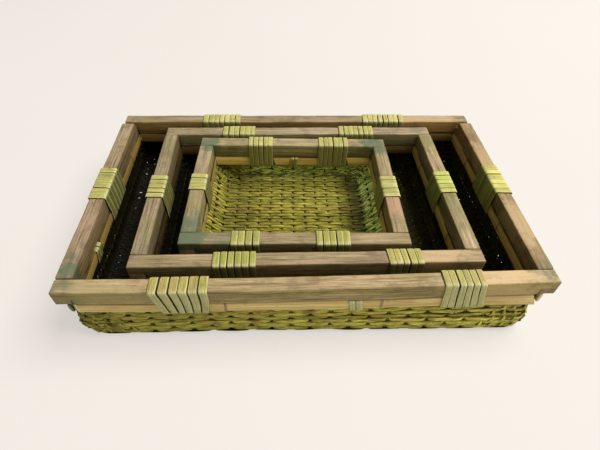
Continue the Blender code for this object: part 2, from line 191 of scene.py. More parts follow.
# Lashings: the strap, how it is bent round the section, and how each turn differs from the next
STRAP_THICKNESS = 0.0009
STRAP_OFFSET = 0.00035
STRAP_BEND = 0.0016
STRAP_STEP = 0.0022
BEND_LIMIT_SHARE = 0.45
FACE_DROP = 0.0240
SLANT_SHARE = 0.20
TURN_SWAY_SHARE = 0.07
TURN_SWELLS = (-0.10, 0.05)
TURN_LIFT = 0.00025
TURN_LIFT_RATE = 0.21
TURN_EASE = 0.05
TURN_EASE_RATE = 0.33
TURN_BEND_POWER = 1.5
CREASE_REACH = 0.0011
INNER_CREASE_SHARE = 0.45
COVER_MARGIN = 0.0014
COVER_BLUR = 0.0004
COVER_DEPTH = 0.9

# A tray's own facts. turn: seen from above. long_in, end_in: how far the weave's middle stands in
# from the rails' outer faces at the base. middle: its height over the base. bend: at the edge of the
# floor. corner: reach of the slanting strands. stake: space between stakes. shown: side on which the
# strands mostly lie, 1 inside, -1 outside. wave: depth of their wave. least, swell: a strand's least
# width and its swell, as shares of the pitch. dive, float: how much of the stakes' spacing its dive
# and its swelling take. stray: how far it strays sideways, as a share of the pitch. loose: how much
# longer its dives are on the walls
TrayFacts = namedtuple("TrayFacts", "turn long_in end_in middle bend corner stake shown wave "
                       "least swell dive float stray loose")
TRAY_FACTS = {
    "large": TrayFacts(
        turn=0.0, long_in=0.0048, end_in=0.0135, middle=0.0030, bend=0.0050, corner=0.046, stake=0.0188,
        shown=-1, wave=0.0011, least=1.28, swell=0.20, dive=0.125, float=0.50, stray=0.30, loose=0.0,
    ),
    "medium": TrayFacts(
        turn=0.0, long_in=0.0072, end_in=0.0230, middle=0.0042, bend=0.0085, corner=0.040, stake=0.0150,
        shown=-1, wave=0.0012, least=1.20, swell=0.16, dive=0.11, float=0.45, stray=0.25, loose=0.0,
    ),
    "small": TrayFacts(
        turn=SMALL_TURN, long_in=0.0082, end_in=0.0296, middle=0.0052, bend=0.0085, corner=0.032,
        stake=0.0136, shown=1, wave=0.0014, least=0.86, swell=0.24, dive=0.08, float=0.26, stray=0.16,
        loose=1.0,
    ),
}
Tray = namedtuple("Tray", "name matrix length depth height rail_width rail_height foot facts")
Side = namedtuple("Side", "name matrix half")

# For each side of a tray, the directions along it and out of it
DIRECTIONS = {
    "front": ((1, 0), (0, -1)),
    "back": ((1, 0), (0, 1)),
    "left": ((0, 1), (-1, 0)),
    "right": ((0, 1), (1, 0)),
}
LONG_SIDES = ("front", "back")

# A lashing or tie, whose name starts with its side: middle of its straps on top of the rail, number
# of straps, width of one, step to the next, and how far a strap moves sideways on the top, on the
# outer face and, in the last turn, on the outer face
Lashing = namedtuple("Lashing", "place turns width pitch top_lean face_lean last_lean", defaults=(None,))
LASHINGS = {
    "large": {
        "front_left": Lashing(-0.1168, 6, 0.0080, 0.0087, 0.0, 0.0075, -0.0015),
        "front_right": Lashing(0.1367, 6, 0.0061, 0.0065, 0.0, 0.0040, 0.0075),
        "back_left": Lashing(-0.1000, 7, 0.0065, 0.0067, 0.0, 0.0060),
        "back_right": Lashing(0.1094, 8, 0.0065, 0.0067, 0.0012, 0.0050),
        "left": Lashing(0.0036, 6, 0.0081, 0.0083, 0.0008, 0.0070),
        "right": Lashing(0.0054, 6, 0.0080, 0.0082, -0.0008, 0.0080),
    },
    "medium": {
        "front_left": Lashing(-0.0692, 6, 0.0064, 0.0066, 0.0, 0.0010),
        "front_right": Lashing(0.0900, 5, 0.0062, 0.0064, 0.0010, 0.0010),
        "back_left": Lashing(-0.0750, 6, 0.0065, 0.0067, 0.0, 0.0065),
        "back_right": Lashing(0.0715, 7, 0.0060, 0.0062, 0.0006, 0.0060),
        "left": Lashing(-0.0013, 5, 0.0068, 0.0070, 0.0007, 0.0060),
        "right": Lashing(0.0024, 5, 0.0069, 0.0071, 0.0007, 0.0060),
    },
    "small": {
        "front_left": Lashing(-0.0481, 4, 0.0068, 0.0070, 0.0, 0.0010),
        "front_right": Lashing(0.0364, 5, 0.0064, 0.0066, 0.0, 0.0010),
        "back_left": Lashing(-0.0395, 5, 0.0056, 0.0058, 0.0, 0.0060),
        "back_right": Lashing(0.0485, 6, 0.0057, 0.0060, 0.0, 0.0060),
        "left": Lashing(0.0023, 4, 0.0063, 0.0065, 0.0006, 0.0060),
        "right": Lashing(-0.0031, 5, 0.0067, 0.0069, 0.0006, 0.0060),
    },
}
TIES = {
    "large": {
        "front": Lashing(0.0391, 2, 0.0060, 0.0066, 0.0, 0.0020),
        "left": Lashing(-0.0705, 2, 0.0060, 0.0066, 0.0, 0.0020),
    },
    "medium": {},
    "small": {"back": Lashing(0.0015, 2, 0.0042, 0.0050, 0.0, 0.0020)},
}

# The large front rail's form: how much lower than straight its lower edge and its strip's lower edge
# lie, at places along them, and its bow towards the front
FRONT_DROP_PLACES = (-0.200, -0.110, 0.0, 0.110, 0.210)
FRONT_RAIL_DROPS = (0.0002, 0.0004, 0.0008, 0.0012, 0.0012)
FRONT_STRIP_DROPS = (0.0004, 0.0006, 0.0016, 0.0032, 0.0060)
FRONT_BOW = 0.0027
FRONT_BOW_PLACE = -0.040
FRONT_BOW_REACH = 0.260

# Nodes of the bamboo, as places along a strip, and how far each end of a strip is moved, and how much
# further its upper edge than its lower one. Strips without an entry follow a rule
STRIP_NODES = {"large_front_outer_strip": (-0.0781, 0.0641)}
STRIP_ENDS = {"large_front_outer_strip": ((0, -0.0008), (0.0010, -0.0080))}

# Stains on the wood: place in the row frame, radius, depth of colour and tone. The pale ones, all on the
# right, are not stains but painted light: they make the wood brighter towards the right, where more light
# falls
STAINS = {
    "large_front_rail": (
        ((-0.216, -0.128, 0.074), 0.016, 0.6, "teal"), ((-0.206, -0.138, 0.057), 0.012, 0.9, "teal"),
        ((0.213, -0.126, 0.074), 0.014, 0.75, "teal"), ((0.002, -0.130, 0.074), 0.009, 0.5, "brown"),
        ((0.150, -0.130, 0.074), 0.050, 0.3, "pale"), ((0.180, -0.138, 0.060), 0.050, 0.85, "pale"),
        ((-0.180, -0.138, 0.062), 0.045, 0.6, "ochre"),
    ),
    "large_left_rail": (
        ((-0.217, -0.116, 0.074), 0.022, 0.8, "teal"), ((-0.217, -0.134, 0.058), 0.016, 0.7, "olive"),
    ),
    "large_back_rail": (
        ((-0.196, 0.132, 0.074), 0.018, 0.4, "olive"), ((0.170, 0.132, 0.074), 0.050, 0.5, "pale"),
    ),
    "large_right_rail": (
        ((0.219, -0.118, 0.074), 0.012, 0.35, "teal"), ((0.218, -0.060, 0.074), 0.040, 0.5, "pale"),
        ((0.218, 0.040, 0.074), 0.040, 0.4, "pale"),
    ),
    "medium_front_rail": (
        ((-0.150, -0.106, 0.074), 0.014, 0.4, "olive"), ((0.120, -0.104, 0.074), 0.050, 0.6, "pale"),
    ),
    "medium_left_rail": (
        ((-0.160, -0.060, 0.074), 0.024, 0.4, "olive"), ((-0.158, 0.060, 0.074), 0.030, 0.3, "olive"),
    ),
    "medium_back_rail": (
        ((-0.130, 0.104, 0.074), 0.014, 0.3, "olive"), ((0.148, 0.104, 0.074), 0.014, 0.5, "teal"),
    ),
    "medium_right_rail": (
        ((0.158, 0.080, 0.074), 0.026, 0.7, "olive"), ((0.150, -0.020, 0.062), 0.026, 0.6, "green"),
        ((0.158, -0.050, 0.074), 0.030, 0.4, "olive"),
    ),
    "small_front_rail": (
        ((-0.116, -0.080, 0.074), 0.022, 0.85, "teal"), ((-0.085, -0.085, 0.060), 0.030, 0.6, "teal"),
        ((0.070, -0.082, 0.074), 0.040, 0.15, "pale"),
    ),
    "small_left_rail": (
        ((-0.118, -0.062, 0.074), 0.030, 0.8, "teal"), ((-0.117, -0.020, 0.074), 0.026, 0.5, "olive"),
        ((-0.112, 0.074, 0.074), 0.016, 0.8, "teal"),
    ),
    "small_back_rail": (
        ((-0.110, 0.080, 0.074), 0.017, 0.85, "teal"), ((0.088, 0.076, 0.074), 0.018, 0.85, "teal"),
        ((-0.085, 0.074, 0.062), 0.020, 0.5, "green"), ((0.070, 0.072, 0.062), 0.020, 0.5, "green"),
    ),
    "small_right_rail": (
        ((0.090, 0.066, 0.074), 0.017, 0.8, "teal"), ((0.092, -0.040, 0.074), 0.020, 0.6, "red"),
    ),
}
STAIN_TONES = {
    "teal": (94, 109, 84),
    "ochre": (186, 166, 118),
    "green": (92, 100, 44),
    "olive": (138, 128, 80),
    "brown": (132, 98, 58),
    "red": (186, 142, 112),
    # pale: painted light, not a stain
    "pale": (214, 184, 138),
}

# Ramps of the materials' main tones, from their darkest streaks to their palest
WOOD_RAMP = ((0.27, (98, 82, 54)), (0.42, (150, 129, 90)), (0.57, (182, 159, 114)), (0.76, (214, 192, 148)))
BAMBOO_RAMP = ((0.30, (160, 126, 58)), (0.46, (218, 188, 106)), (0.60, (240, 214, 136)),
               (0.74, (250, 232, 170)))
STRAP_RAMP = ((0.27, (104, 100, 38)), (0.42, (160, 156, 72)), (0.56, (190, 184, 100)),
              (0.74, (224, 216, 148)))
# The large tray's rush is brighter than the others': partly its own paler rush, partly painted light for its
# outer walls, which the lamp hardly reaches
RUSH_RAMPS = {
    "large": ((0.18, (134, 126, 36)), (0.36, (164, 160, 46)), (0.54, (186, 184, 62)), (0.70, (206, 196, 84)),
              (0.88, (172, 138, 60))),
    "medium": ((0.18, (96, 88, 32)), (0.36, (130, 124, 44)), (0.54, (150, 150, 60)), (0.70, (170, 160, 76)),
               (0.88, (120, 92, 42))),
    "small": ((0.16, (84, 78, 20)), (0.34, (108, 104, 28)), (0.52, (130, 126, 40)), (0.70, (150, 140, 54)),
              (0.88, (110, 88, 36))),
}
# Painted highlights: the pale gloss laid along the rush's streaks
SMALL_PAINTED_GLOSS = (214, 202, 80)
RUSH_PAINTED_GLOSS = (226, 216, 120)

# Painted light that makes the small tray's walls behind and at the right, which the lamp hardly reaches,
# brighter and greener, and painted shade that makes the other trays' insides almost black, most of all near
# their walls and a little less at their right ends
SMALL_WALL_PAINTED_LIGHT = (2.6, 3.6, 8.0)
INSIDE_PAINTED_SHADE = (0.028, 0.025, 0.017)
INSIDE_LEAST, INSIDE_RIGHT = 0.78, 0.935

# The painted shadow on the wood between the turns of a lashing, the seams of rail and strip, which are darker
# where they meet, the painted shadow on the weave below the strips, and the ends of the strips
STRAP_GAP_SHADOW_TONE = (20, 17, 7)
SEAM_TONE = (58, 44, 20)
SEAM_REACH = 0.0018
WEAVE_SHADOW_REACH = 0.0040
END_TONE = (226, 216, 158)
END_TONES = {"large_left_outer_strip": (52, 74, 52)}

# Tones of the straps, and those that differ from the rest
STRAP_TONE = (198, 191, 110)
STRAP_TONES = {
    "large_front_left_lashing": (172, 150, 80),
    "large_front_right_lashing": (184, 164, 92),
    "large_right_lashing": (250, 240, 124),
    "large_back_left_lashing": (224, 212, 140),
    "large_back_right_lashing": (224, 208, 138),
    "medium_front_left_lashing": (156, 162, 60),
    "medium_front_right_lashing": (184, 166, 80),
    "medium_right_lashing": (208, 224, 92),
    "small_front_left_lashing": (162, 158, 70),
    "small_front_right_lashing": (156, 152, 56),
    "small_back_left_lashing": (226, 216, 134),
    "large_left_tie": (110, 106, 44),
    "large_front_tie": (190, 182, 118),
}

# Painted light and shade on the straps: depth and tone of their outer faces, painted lighter on the large
# tray and painted darker on the others, and how far their painted pale edges fade there, and depth and tone
# of their sides within the trays, painted shade, darkest on the left
StrapFace = namedtuple("StrapFace", "depth tone fade", defaults=(0.0,))
STRAP_FACES = {
    "large": StrapFace(0.45, (226, 230, 162)),
    "medium": StrapFace(0.85, (66, 62, 24), 0.85),
    "small": StrapFace(0.80, (74, 72, 26), 0.80),
}
OPEN_INSIDE = StrapFace(0.60, (118, 116, 36))
SHADED_INSIDE = StrapFace(0.85, (72, 74, 26))

# Shades of the rails, each its own tone; then painted shade on the rails' inner faces, on the strips and on
# the trays' outer faces, and painted light on a few, for how the light falls on them. An inner face takes its
# tray's own shade or else its side's
WHITE = (1.0, 1.0, 1.0)
RAIL_SHADES = {
    "large_front_rail": (1.06, 1.06, 1.06),
    "large_left_rail": (0.90, 0.90, 1.02),
    "large_back_rail": (0.80, 0.84, 0.92),
    "large_right_rail": (0.79, 0.74, 0.70),
    "medium_front_rail": (0.82, 0.83, 0.88),
    "medium_left_rail": (0.80, 0.84, 1.00),
    "medium_back_rail": (0.88, 0.93, 1.06),
    "medium_right_rail": (0.94, 0.97, 1.04),
    "small_front_rail": (0.78, 0.82, 0.86),
    "small_left_rail": (0.88, 0.94, 1.02),
    "small_back_rail": (0.92, 1.00, 1.06),
    "small_right_rail": (0.90, 0.94, 0.98),
}
INNER_FACE_PAINTED_SHADES = {
    "front": (0.70, 0.68, 0.55),
    "back": (0.95, 1.0, 0.80),
    "left": (0.50, 0.48, 0.36),
    "right": (0.85, 0.85, 0.68),
    "small_left": (0.85, 0.88, 0.68),
    "large_back": (1.08, 0.90, 0.50),
}
STRIP_PAINTED_SHADES = {
    "large_front_outer_strip": (1.08, 1.10, 1.08),
    "large_left_inner_strip": (0.42, 0.38, 0.32),
    "large_back_inner_strip": (0.42, 0.36, 0.28),
    "medium_left_inner_strip": (0.08, 0.065, 0.045),
    "medium_back_inner_strip": (0.30, 0.24, 0.20),
    "small_back_inner_strip": (1.25, 1.25, 1.10),
    "small_left_inner_strip": (0.52, 0.53, 0.48),
}
OUTER_FACE_PAINTED_SHADES = {"large": (0.88, 0.91, 0.68), "medium": (0.52, 0.50, 0.40), "small": (0.48, 0.48, 0.34)}

# Floor, and the share of its own colour that the camera sees without its shadow
FLOOR_SIZE = 3.0
FLOOR_TONES = ((246, 240, 232), (250, 245, 239))
FLOOR_SHADE = (0.755, 0.75, 0.745)
FLOOR_GLOW_SHARE = 0.63
FLOOR_GAP = 0.0001

# Studio light
WORLD_COLOUR = (1.0, 0.975, 0.90, 1.0)
WORLD_STRENGTH = 0.20
KEY_PLACE = (1.92, 0.29, 3.28)
KEY_TARGET = (0, 0, 0.03)
KEY_SIZE = (2.8, 2.4)
KEY_POWER = 204.0
KEY_COLOUR = (1.0, 0.98, 0.95)

# The photograph's camera, solved from the corners of the three rims: its lens and sensor in
# millimetres, its place in metres and its axes
CAMERA_LENS = 25.518
CAMERA_SENSOR = 36.0
CAMERA_NEAR = 0.01
CAMERA_PLACE = (-0.029865, -0.353756, 0.378929)
CAMERA_RIGHT = Vector((0.99859963, -0.04495779, 0.02788503))
CAMERA_UP = Vector((0.01322557, 0.72250556, 0.6912386))
CAMERA_FORWARD = Vector((0.05122365, 0.68990182, -0.72208838))


def srgb(red, green, blue):
    """Linear colour from sRGB values of 0 to 255."""
    linear = [((c / 255 + 0.055) / 1.055) ** 2.4 if c > 10 else c / 255 / 12.92 for c in (red, green, blue)]
    return (*linear, 1.0)


class Shader:
    """Short calls for building one node material. Their values are numbers or sockets."""

    def __init__(self, name):
        self.material = bpy.data.materials.new(name)
        self.material.use_nodes = True
        self.tree = self.material.node_tree
        self.surface = self.tree.nodes["Principled BSDF"]
        self.place = self.node("TexCoord").outputs["Object"]

    def node(self, kind, inputs=(), **settings):
        made = self.tree.nodes.new("ShaderNode" + kind)
        for key, value in settings.items():
            setattr(made, key, value)
        for key, value in dict(inputs).items():
            self.set(made.inputs[key], value)
        return made

    def set(self, socket, value):
        if isinstance(value, bpy.types.NodeSocket):
            self.tree.links.new(value, socket)
        else:
            socket.default_value = value

    def stored(self, name):
        """A vector that the mesh keeps for each vertex."""
        return self.node("Attribute", attribute_name=name).outputs["Vector"]

    def parts(self, vector):
        """The three values of a vector."""
        return list(self.node("SeparateXYZ", {0: vector}).outputs)

    def joined(self, x, y, z):
        return self.node("CombineXYZ", {0: x, 1: y, 2: z}).outputs["Vector"]

    def mapped(self, vector, **values):
        return self.node("Mapping", {"Vector": vector, **values}).outputs["Vector"]

    def noise(self, vector, scale, detail=4.0, roughness=0.55, distortion=0.0):
        """Noise at one scale, or at a scale for each axis."""
        if isinstance(scale, tuple):
            vector, scale = self.mapped(vector, Scale=scale), 1.0
        values = {"Vector": vector, "Scale": scale, "Detail": detail, "Roughness": roughness,
                  "Distortion": distortion}
        return self.node("TexNoise", values).outputs["Fac"]

    def range(self, value, low, high, out_low=0.0, out_high=1.0):
        values = {"Value": value, "From Min": low, "From Max": high, "To Min": out_low, "To Max": out_high}
        return self.node("MapRange", values, interpolation_type="SMOOTHSTEP").outputs["Result"]

    def maths(self, operation, first, second=0.5):
        return self.node("Math", {0: first, 1: second}, operation=operation).outputs[0]

    def times(self, first, *factors):
        for factor in factors:
            first = self.maths("MULTIPLY", first, factor)
        return first

    def less(self, first, second):
        return self.maths("SUBTRACT", first, second)

    def absolute(self, value):
        return self.maths("ABSOLUTE", value)

    def most(self, first, second):
        return self.maths("MAXIMUM", first, second)

    def mix(self, factor, first, second, blend="MIX"):
        made = self.node("Mix", data_type="RGBA", blend_type=blend)
        for index, value in ((0, factor), (6, first), (7, second)):
            self.set(made.inputs[index], value)
        return made.outputs[2]

    def lay(self, colour, factor, tone):
        """Lays one tone over a colour."""
        return self.mix(factor, colour, srgb(*tone))

    def tint(self, colour, *layers):
        """Lays tones over a colour, each as its value goes from low to high, up to its depth."""
        for value, low, high, depth, tone in layers:
            colour = self.lay(colour, self.range(value, low, high, 0.0, depth), tone)
        return colour

    def shade(self, colour, shade, factor=1.0):
        """Multiplies a colour by a shade, as far as the factor says."""
        return self.mix(factor, colour, (*shade, 1.0), "MULTIPLY")

    def lit(self, colour, factor):
        """Makes a colour brighter or darker by one factor."""
        made = self.node("VectorMath", {0: colour, "Scale": factor}, operation="SCALE")
        return made.outputs["Vector"]

    def ramp(self, factor, stops):
        made = self.node("ValToRGB", {"Fac": factor})
        elements = made.color_ramp.elements
        while len(elements) < len(stops):
            elements.new(0.5)
        for element, (place, tone) in zip(elements, stops):
            element.position = place
            element.color = srgb(*tone)
        return made.outputs["Color"]

    def covered(self, colour, grain, spans):
        """Painted shadow: darkens the spans that lashings cover, so that the gaps between their turns look
        dark. Each is given by the places of its two ends on top of the rail, how far each has moved at the
        strip's foot, and the height of the top."""
        along, _, up = self.parts(grain)
        for ends, moves, height in spans:
            drop = self.times(self.less(height, up), 1 / FACE_DROP)
            start, end = (self.less(self.less(along, self.times(drop, move)), edge)
                          for edge, move in zip(ends, moves))
            within = self.times(self.range(start, -COVER_BLUR, COVER_BLUR),
                                self.range(end, COVER_BLUR, -COVER_BLUR), COVER_DEPTH)
            colour = self.lay(colour, within, STRAP_GAP_SHADOW_TONE)
        return colour

    def finish(self, colour, roughness, specular, *bumps):
        """Closes the material with its bumps, each given by a height, a strength and a distance."""
        normal = None
        for height, strength, distance in bumps:
            values = {"Height": height, "Strength": strength, "Distance": distance}
            if normal:
                values["Normal"] = normal
            normal = self.node("Bump", values).outputs["Normal"]
        for key, value in (("Base Color", colour), ("Roughness", roughness), ("Normal", normal)):
            self.set(self.surface.inputs[key], value)
        self.surface.inputs["Specular IOR Level"].default_value = specular
        return self.material


def wood_material(name, tray, side, bottom, seed):
    """Weathered wood: grain along the rail, grey and pinkish patches, dark pores and mould stains. The rail's
    inner and outer faces have painted shade that makes them darker than its top, as less light falls on them."""
    s = Shader(f"{name}_wood")
    grain = s.stored("grain")
    moved = s.mapped(grain, Location=(seed, seed * 0.7, seed * 0.3))
    fibres = s.noise(moved, (14, 420, 420), 5.0, 0.6, 0.4)
    pores = s.noise(moved, (60, 1900, 1900), 3.0, 0.65)
    patches = s.noise(moved, (18, 55, 55), 3.0, 0.5)
    blotches = s.noise(s.mapped(s.place, Scale=(1.0, 1.0, 1.6)), 62.0, 5.0, 0.65)
    mottle = s.noise(s.place, 75.0, 4.0, 0.6)
    grime = s.noise(s.place, 420.0, 3.0, 0.7)
    colour = s.tint(
        s.ramp(fibres, WOOD_RAMP),
        (patches, 0.50, 0.68, 0.55, (190, 158, 124)),
        (patches, 0.44, 0.30, 0.60, (150, 142, 100)),
        (pores, 0.48, 0.32, 0.70, (86, 68, 44)),
        (pores, 0.55, 0.70, 0.40, (224, 204, 164)),
        (blotches, 0.50, 0.68, 0.60, (126, 108, 80)),
    )
    colour = s.shade(colour, RAIL_SHADES[name])
    # Stains, and the pale patches on the right, which are painted light
    for centre, radius, depth, tone in STAINS[name]:
        distance = s.node("VectorMath", {0: s.place, 1: centre}, operation="DISTANCE").outputs["Value"]
        ragged = s.maths("ADD", distance, s.times(s.less(mottle, 0.5), radius * 2.2))
        colour = s.tint(colour, (ragged, radius, radius * 0.35, depth, STAIN_TONES[tone]))
    _, out, up = s.parts(grain)
    width = tray.rail_width
    inner_face = s.range(out, RAIL_EDGE, RAIL_EDGE * 0.3)
    outer_face = s.range(out, width - RAIL_EDGE, width - RAIL_EDGE * 0.3)
    inner_painted_shade = INNER_FACE_PAINTED_SHADES.get(f"{tray.name}_{side.name}", INNER_FACE_PAINTED_SHADES[side.name])
    # Painted shade on the inner and outer faces
    colour = s.shade(colour, inner_painted_shade, inner_face)
    colour = s.shade(colour, OUTER_FACE_PAINTED_SHADES[tray.name], outer_face)
    # Darker along the outer face's lower edge, where rail and strip meet
    seam = s.range(up, bottom + SEAM_REACH, bottom, 0.0, 0.85)
    colour = s.lay(colour, s.times(seam, outer_face), SEAM_TONE)
    colour = s.tint(colour, (grime, 0.60, 0.74, 0.5, (74, 64, 42)))
    colour = s.covered(colour, grain, covered_spans(tray, side))
    roughness = s.range(fibres, 0.3, 0.7, 0.78, 0.55)
    return s.finish(colour, roughness, 0.3, (fibres, 0.5, 0.0006), (pores, 0.6, 0.0003))


def bamboo_material(name, rings, end, top, spans, seed):
    """Split bamboo: straight fine fibres, a waxy skin and darker rings at the nodes."""
    s = Shader(f"{name}_bamboo")
    grain = s.stored("grain")
    along, _, up = s.parts(grain)
    moved = s.mapped(grain, Location=(seed, seed * 0.6, 0))
    fibres = s.noise(moved, (7, 700, 700), 4.0, 0.6)
    fine = s.noise(moved, (25, 2600, 2600), 2.0, 0.6)
    drift = s.noise(moved, (14, 40, 40), 3.0)
    spots = s.noise(s.place, 260.0, 3.0, 0.7)
    colour = s.tint(
        s.ramp(fibres, BAMBOO_RAMP),
        (drift, 0.46, 0.66, 0.50, (190, 150, 78)),
        (fine, 0.44, 0.30, 0.5, (112, 78, 36)),
    )
    for ring in rings:
        colour = s.tint(colour, (s.absolute(s.less(along, ring)), 0.0022, 0.0004, 0.7, (108, 74, 36)))
    # Darker along the strip's top, where it meets the rail, unevenly along it
    uneven = s.range(drift, 0.40, 0.60, 0.35, 0.9)
    colour = s.lay(colour, s.times(s.range(up, top - SEAM_REACH, top), uneven), SEAM_TONE)
    colour = s.tint(
        colour,
        (spots, 0.60, 0.74, 0.6, (92, 68, 34)),
        (along, end + 0.0030, end + 0.0008, 0.9, END_TONES.get(name, END_TONE)),
    )
    # Painted shade on the whole strip, and painted light on a few
    colour = s.covered(s.shade(colour, STRIP_PAINTED_SHADES.get(name, WHITE)), grain, spans)
    roughness = s.range(fibres, 0.3, 0.7, 0.55, 0.38)
    return s.finish(colour, roughness, 0.45, (fibres, 0.35, 0.0003), (fine, 0.4, 0.00015))


def rush_material(name, tray):
    """Woven rush: each strand has its own hue, from olive and yellow-green to straw and brown."""
    s = Shader(f"{name}_rush")
    painted_gloss = SMALL_PAINTED_GLOSS if tray.name == "small" else RUSH_PAINTED_GLOSS
    strand = s.stored("strand")
    along, across, key = s.parts(strand)
    slow = s.noise(s.joined(along, key, 0.0), (38, 7, 1), 2.0)
    streaks = s.noise(strand, (90, 7.5, 31), 4.0, 0.65)
    fine = s.noise(strand, (420, 26, 57), 3.0, 0.6)
    dirt = s.noise(s.place, 46.0, 4.0, 0.6)
    hue = s.maths("ADD", s.times(key, 0.50), s.times(slow, 0.55))
    colour = s.tint(
        s.ramp(hue, RUSH_RAMPS[tray.name]),
        (streaks, 0.49, 0.34, 0.85, (62, 58, 14)),
        # Painted highlight along the streaks
        (streaks, 0.53, 0.67, 0.85, painted_gloss),
        (fine, 0.56, 0.70, 0.5, painted_gloss),
        # Painted shade: strands darker at their edges, the shade in the seams between them
        (s.absolute(across), 0.55, 0.95, 0.80, (46, 42, 12)),
        (dirt, 0.52, 0.74, 0.65, (92, 72, 32)),
    )
    light = small_light if tray.name == "small" else large_light
    colour = light(s, colour, streaks, tray)
    roughness = s.range(streaks, 0.3, 0.7, 0.72, 0.52)
    return s.finish(colour, roughness, 0.2, (streaks, 0.7, 0.0005), (fine, 0.5, 0.0002))


def small_light(s, colour, streaks, tray):
    """The small tray's back and right walls are painted brighter and greener, with painted glints on their
    streaks, as painted light for walls that the lamp hardly reaches, and its floor has painted soft shadows
    at both ends.
    """
    _, _, wall_painted_light = s.parts(s.stored("zone"))
    x, _, z = s.parts(s.place)
    floor = tray.matrix.translation.z + tray.facts.middle
    glint = s.range(streaks, 0.40, 0.64, 0.45, 1.9)
    colour = s.mix(wall_painted_light, colour, s.lit(s.shade(colour, SMALL_WALL_PAINTED_LIGHT), glint))
    ends = s.most(s.range(x, -0.038, -0.078, 0.0, 0.34), s.range(x, 0.036, 0.070, 0.0, 0.66))
    shadow = s.less(1.0, s.times(ends, s.range(z, floor + 0.008, floor + 0.002)))
    return s.lit(colour, s.times(s.range(streaks, 0.40, 0.62, 0.48, 1.46), shadow))


def large_light(s, colour, streaks, tray):
    """Painted shade makes the large and the medium tray almost black inside. Outside, painted light makes
    them brighter to the right, and painted shade makes them darker round the corners and in the shadow below
    the strips."""
    outwards, dives, tone = s.parts(s.stored("zone"))
    x, _, z = s.parts(s.place)
    inside = s.most(s.range(outwards, -0.2, 0.4), s.range(dives, -0.4, 0.5, 0.0, 0.66))
    colour = s.shade(colour, INSIDE_PAINTED_SHADE, s.times(tone, inside))
    painted_light_and_shade = s.times(
        s.range(x, -0.20, 0.16, 0.90, 1.26),
        s.range(s.absolute(x), 0.172, 0.196, 1.0, 0.72),
        s.range(z, tray.foot - WEAVE_SHADOW_REACH, tray.foot, 1.0, 0.30),
    )
    return s.lit(colour, s.times(s.range(streaks, 0.40, 0.62, 0.68, 1.42), painted_light_and_shade))


def strap_material(name, face, inside, seed):
    """Flat straps: long streaks and splits, pale edges of painted highlight and dark edges of painted shade
    between the turns, pale cream creases at the bends, partly wear and partly painted highlight, and painted
    light and shade on the faces below them."""
    s = Shader(f"{name}_strap")
    strand = s.stored("strand")
    along, across, key = s.parts(strand)
    creased, on_face, on_inside = s.parts(s.stored("zone"))
    edge = s.absolute(across)
    moved = s.mapped(strand, Location=(seed, 0, 0))
    streaks = s.noise(moved, (55, 3.6, 23), 4.0, 0.6)
    fine = s.noise(moved, (260, 17, 41), 3.0, 0.65)
    splits = s.noise(moved, (16, 11, 29), 2.0, 0.5)
    turns = s.noise(s.joined(along, key, seed), 24.0, 1.0)
    dirt = s.noise(s.place, 130.0, 4.0, 0.6)
    colour = s.ramp(streaks, STRAP_RAMP)
    colour = s.lay(colour, s.range(turns, 0.35, 0.65, 0.15, 0.65), STRAP_TONES.get(name, STRAP_TONE))
    colour = s.tint(colour, (turns, 0.45, 0.30, 0.45, (150, 156, 66)))
    # Painted light and shade on the outer face and on the sides within the tray
    colour = s.lay(colour, s.times(on_face, face.depth), face.tone)
    colour = s.lay(colour, s.times(on_inside, inside.depth), inside.tone)
    colour = s.tint(colour, (fine, 0.47, 0.30, 0.70, (88, 84, 34)))
    # Pale crease at the bends: partly wear, partly painted highlight
    colour = s.lay(colour, s.times(creased, s.range(fine, 0.35, 0.60, 0.45, 1.0), 0.6), (250, 244, 200))
    colour = s.tint(colour, (splits, 0.42, 0.34, 0.75, (70, 66, 22)))
    # Painted highlight on the straps' edges, fading on shaded faces; then painted shade at the very edges, in
    # the gaps between turns
    pale = s.times(s.range(edge, 0.55, 0.82), s.range(splits, 0.40, 0.60, 0.15, 0.50),
                   s.less(1.0, s.times(on_face, face.fade)))
    colour = s.tint(
        s.lay(colour, pale, (226, 220, 158)),
        (edge, 0.88, 1.0, 0.8, (64, 58, 22)),
        (dirt, 0.56, 0.74, 0.5, (124, 104, 46)),
    )
    roughness = s.range(streaks, 0.3, 0.7, 0.60, 0.42)
    return s.finish(colour, roughness, 0.4, (streaks, 0.6, 0.0005), (fine, 0.6, 0.0002))


def local_box(node, matrix):
    """Lowest and highest corners of a CAD node along the axes of a matrix."""
    inverse = np.array(matrix.inverted())
    points = np.array([v.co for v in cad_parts[node].data.vertices])
    points = points @ inverse[:3, :3].T + inverse[:3, 3]
    return points.min(0), points.max(0)


def read_tray(name):
    """A tray's place and sizes, all taken from the frame."""
    facts = TRAY_FACTS[name]
    low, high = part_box(f"{name}_woven_body")
    centre = (low + high) / 2
    matrix = Matrix.Translation((centre.x, centre.y, low.z)) @ Matrix.Rotation(facts.turn, 4, "Z")
    (left, outside, bottom), (right, inside, top) = local_box(f"{name}_front_rail", matrix)
    back = local_box(f"{name}_back_rail", matrix)[1][1]
    foot = local_box(f"{name}_front_outer_strip", matrix)[0][2]
    return Tray(name, matrix, right - left, back - outside, top, inside - outside, top - bottom, foot, facts)


def read_side(tray, name):
    """Matrix from (along, out, up) to the row frame: out is zero on the rail's inner face."""
    along, out = DIRECTIONS[name]
    half, reach = tray.length / 2, tray.depth / 2
    if name not in LONG_SIDES:
        half, reach = reach, half
    matrix = Matrix.Identity(4)
    for column, direction in enumerate((along, out)):
        matrix[0][column], matrix[1][column] = direction
    matrix.translation = Vector((*out, 0)) * (reach - tray.rail_width)
    return Side(name, tray.matrix @ matrix, half)


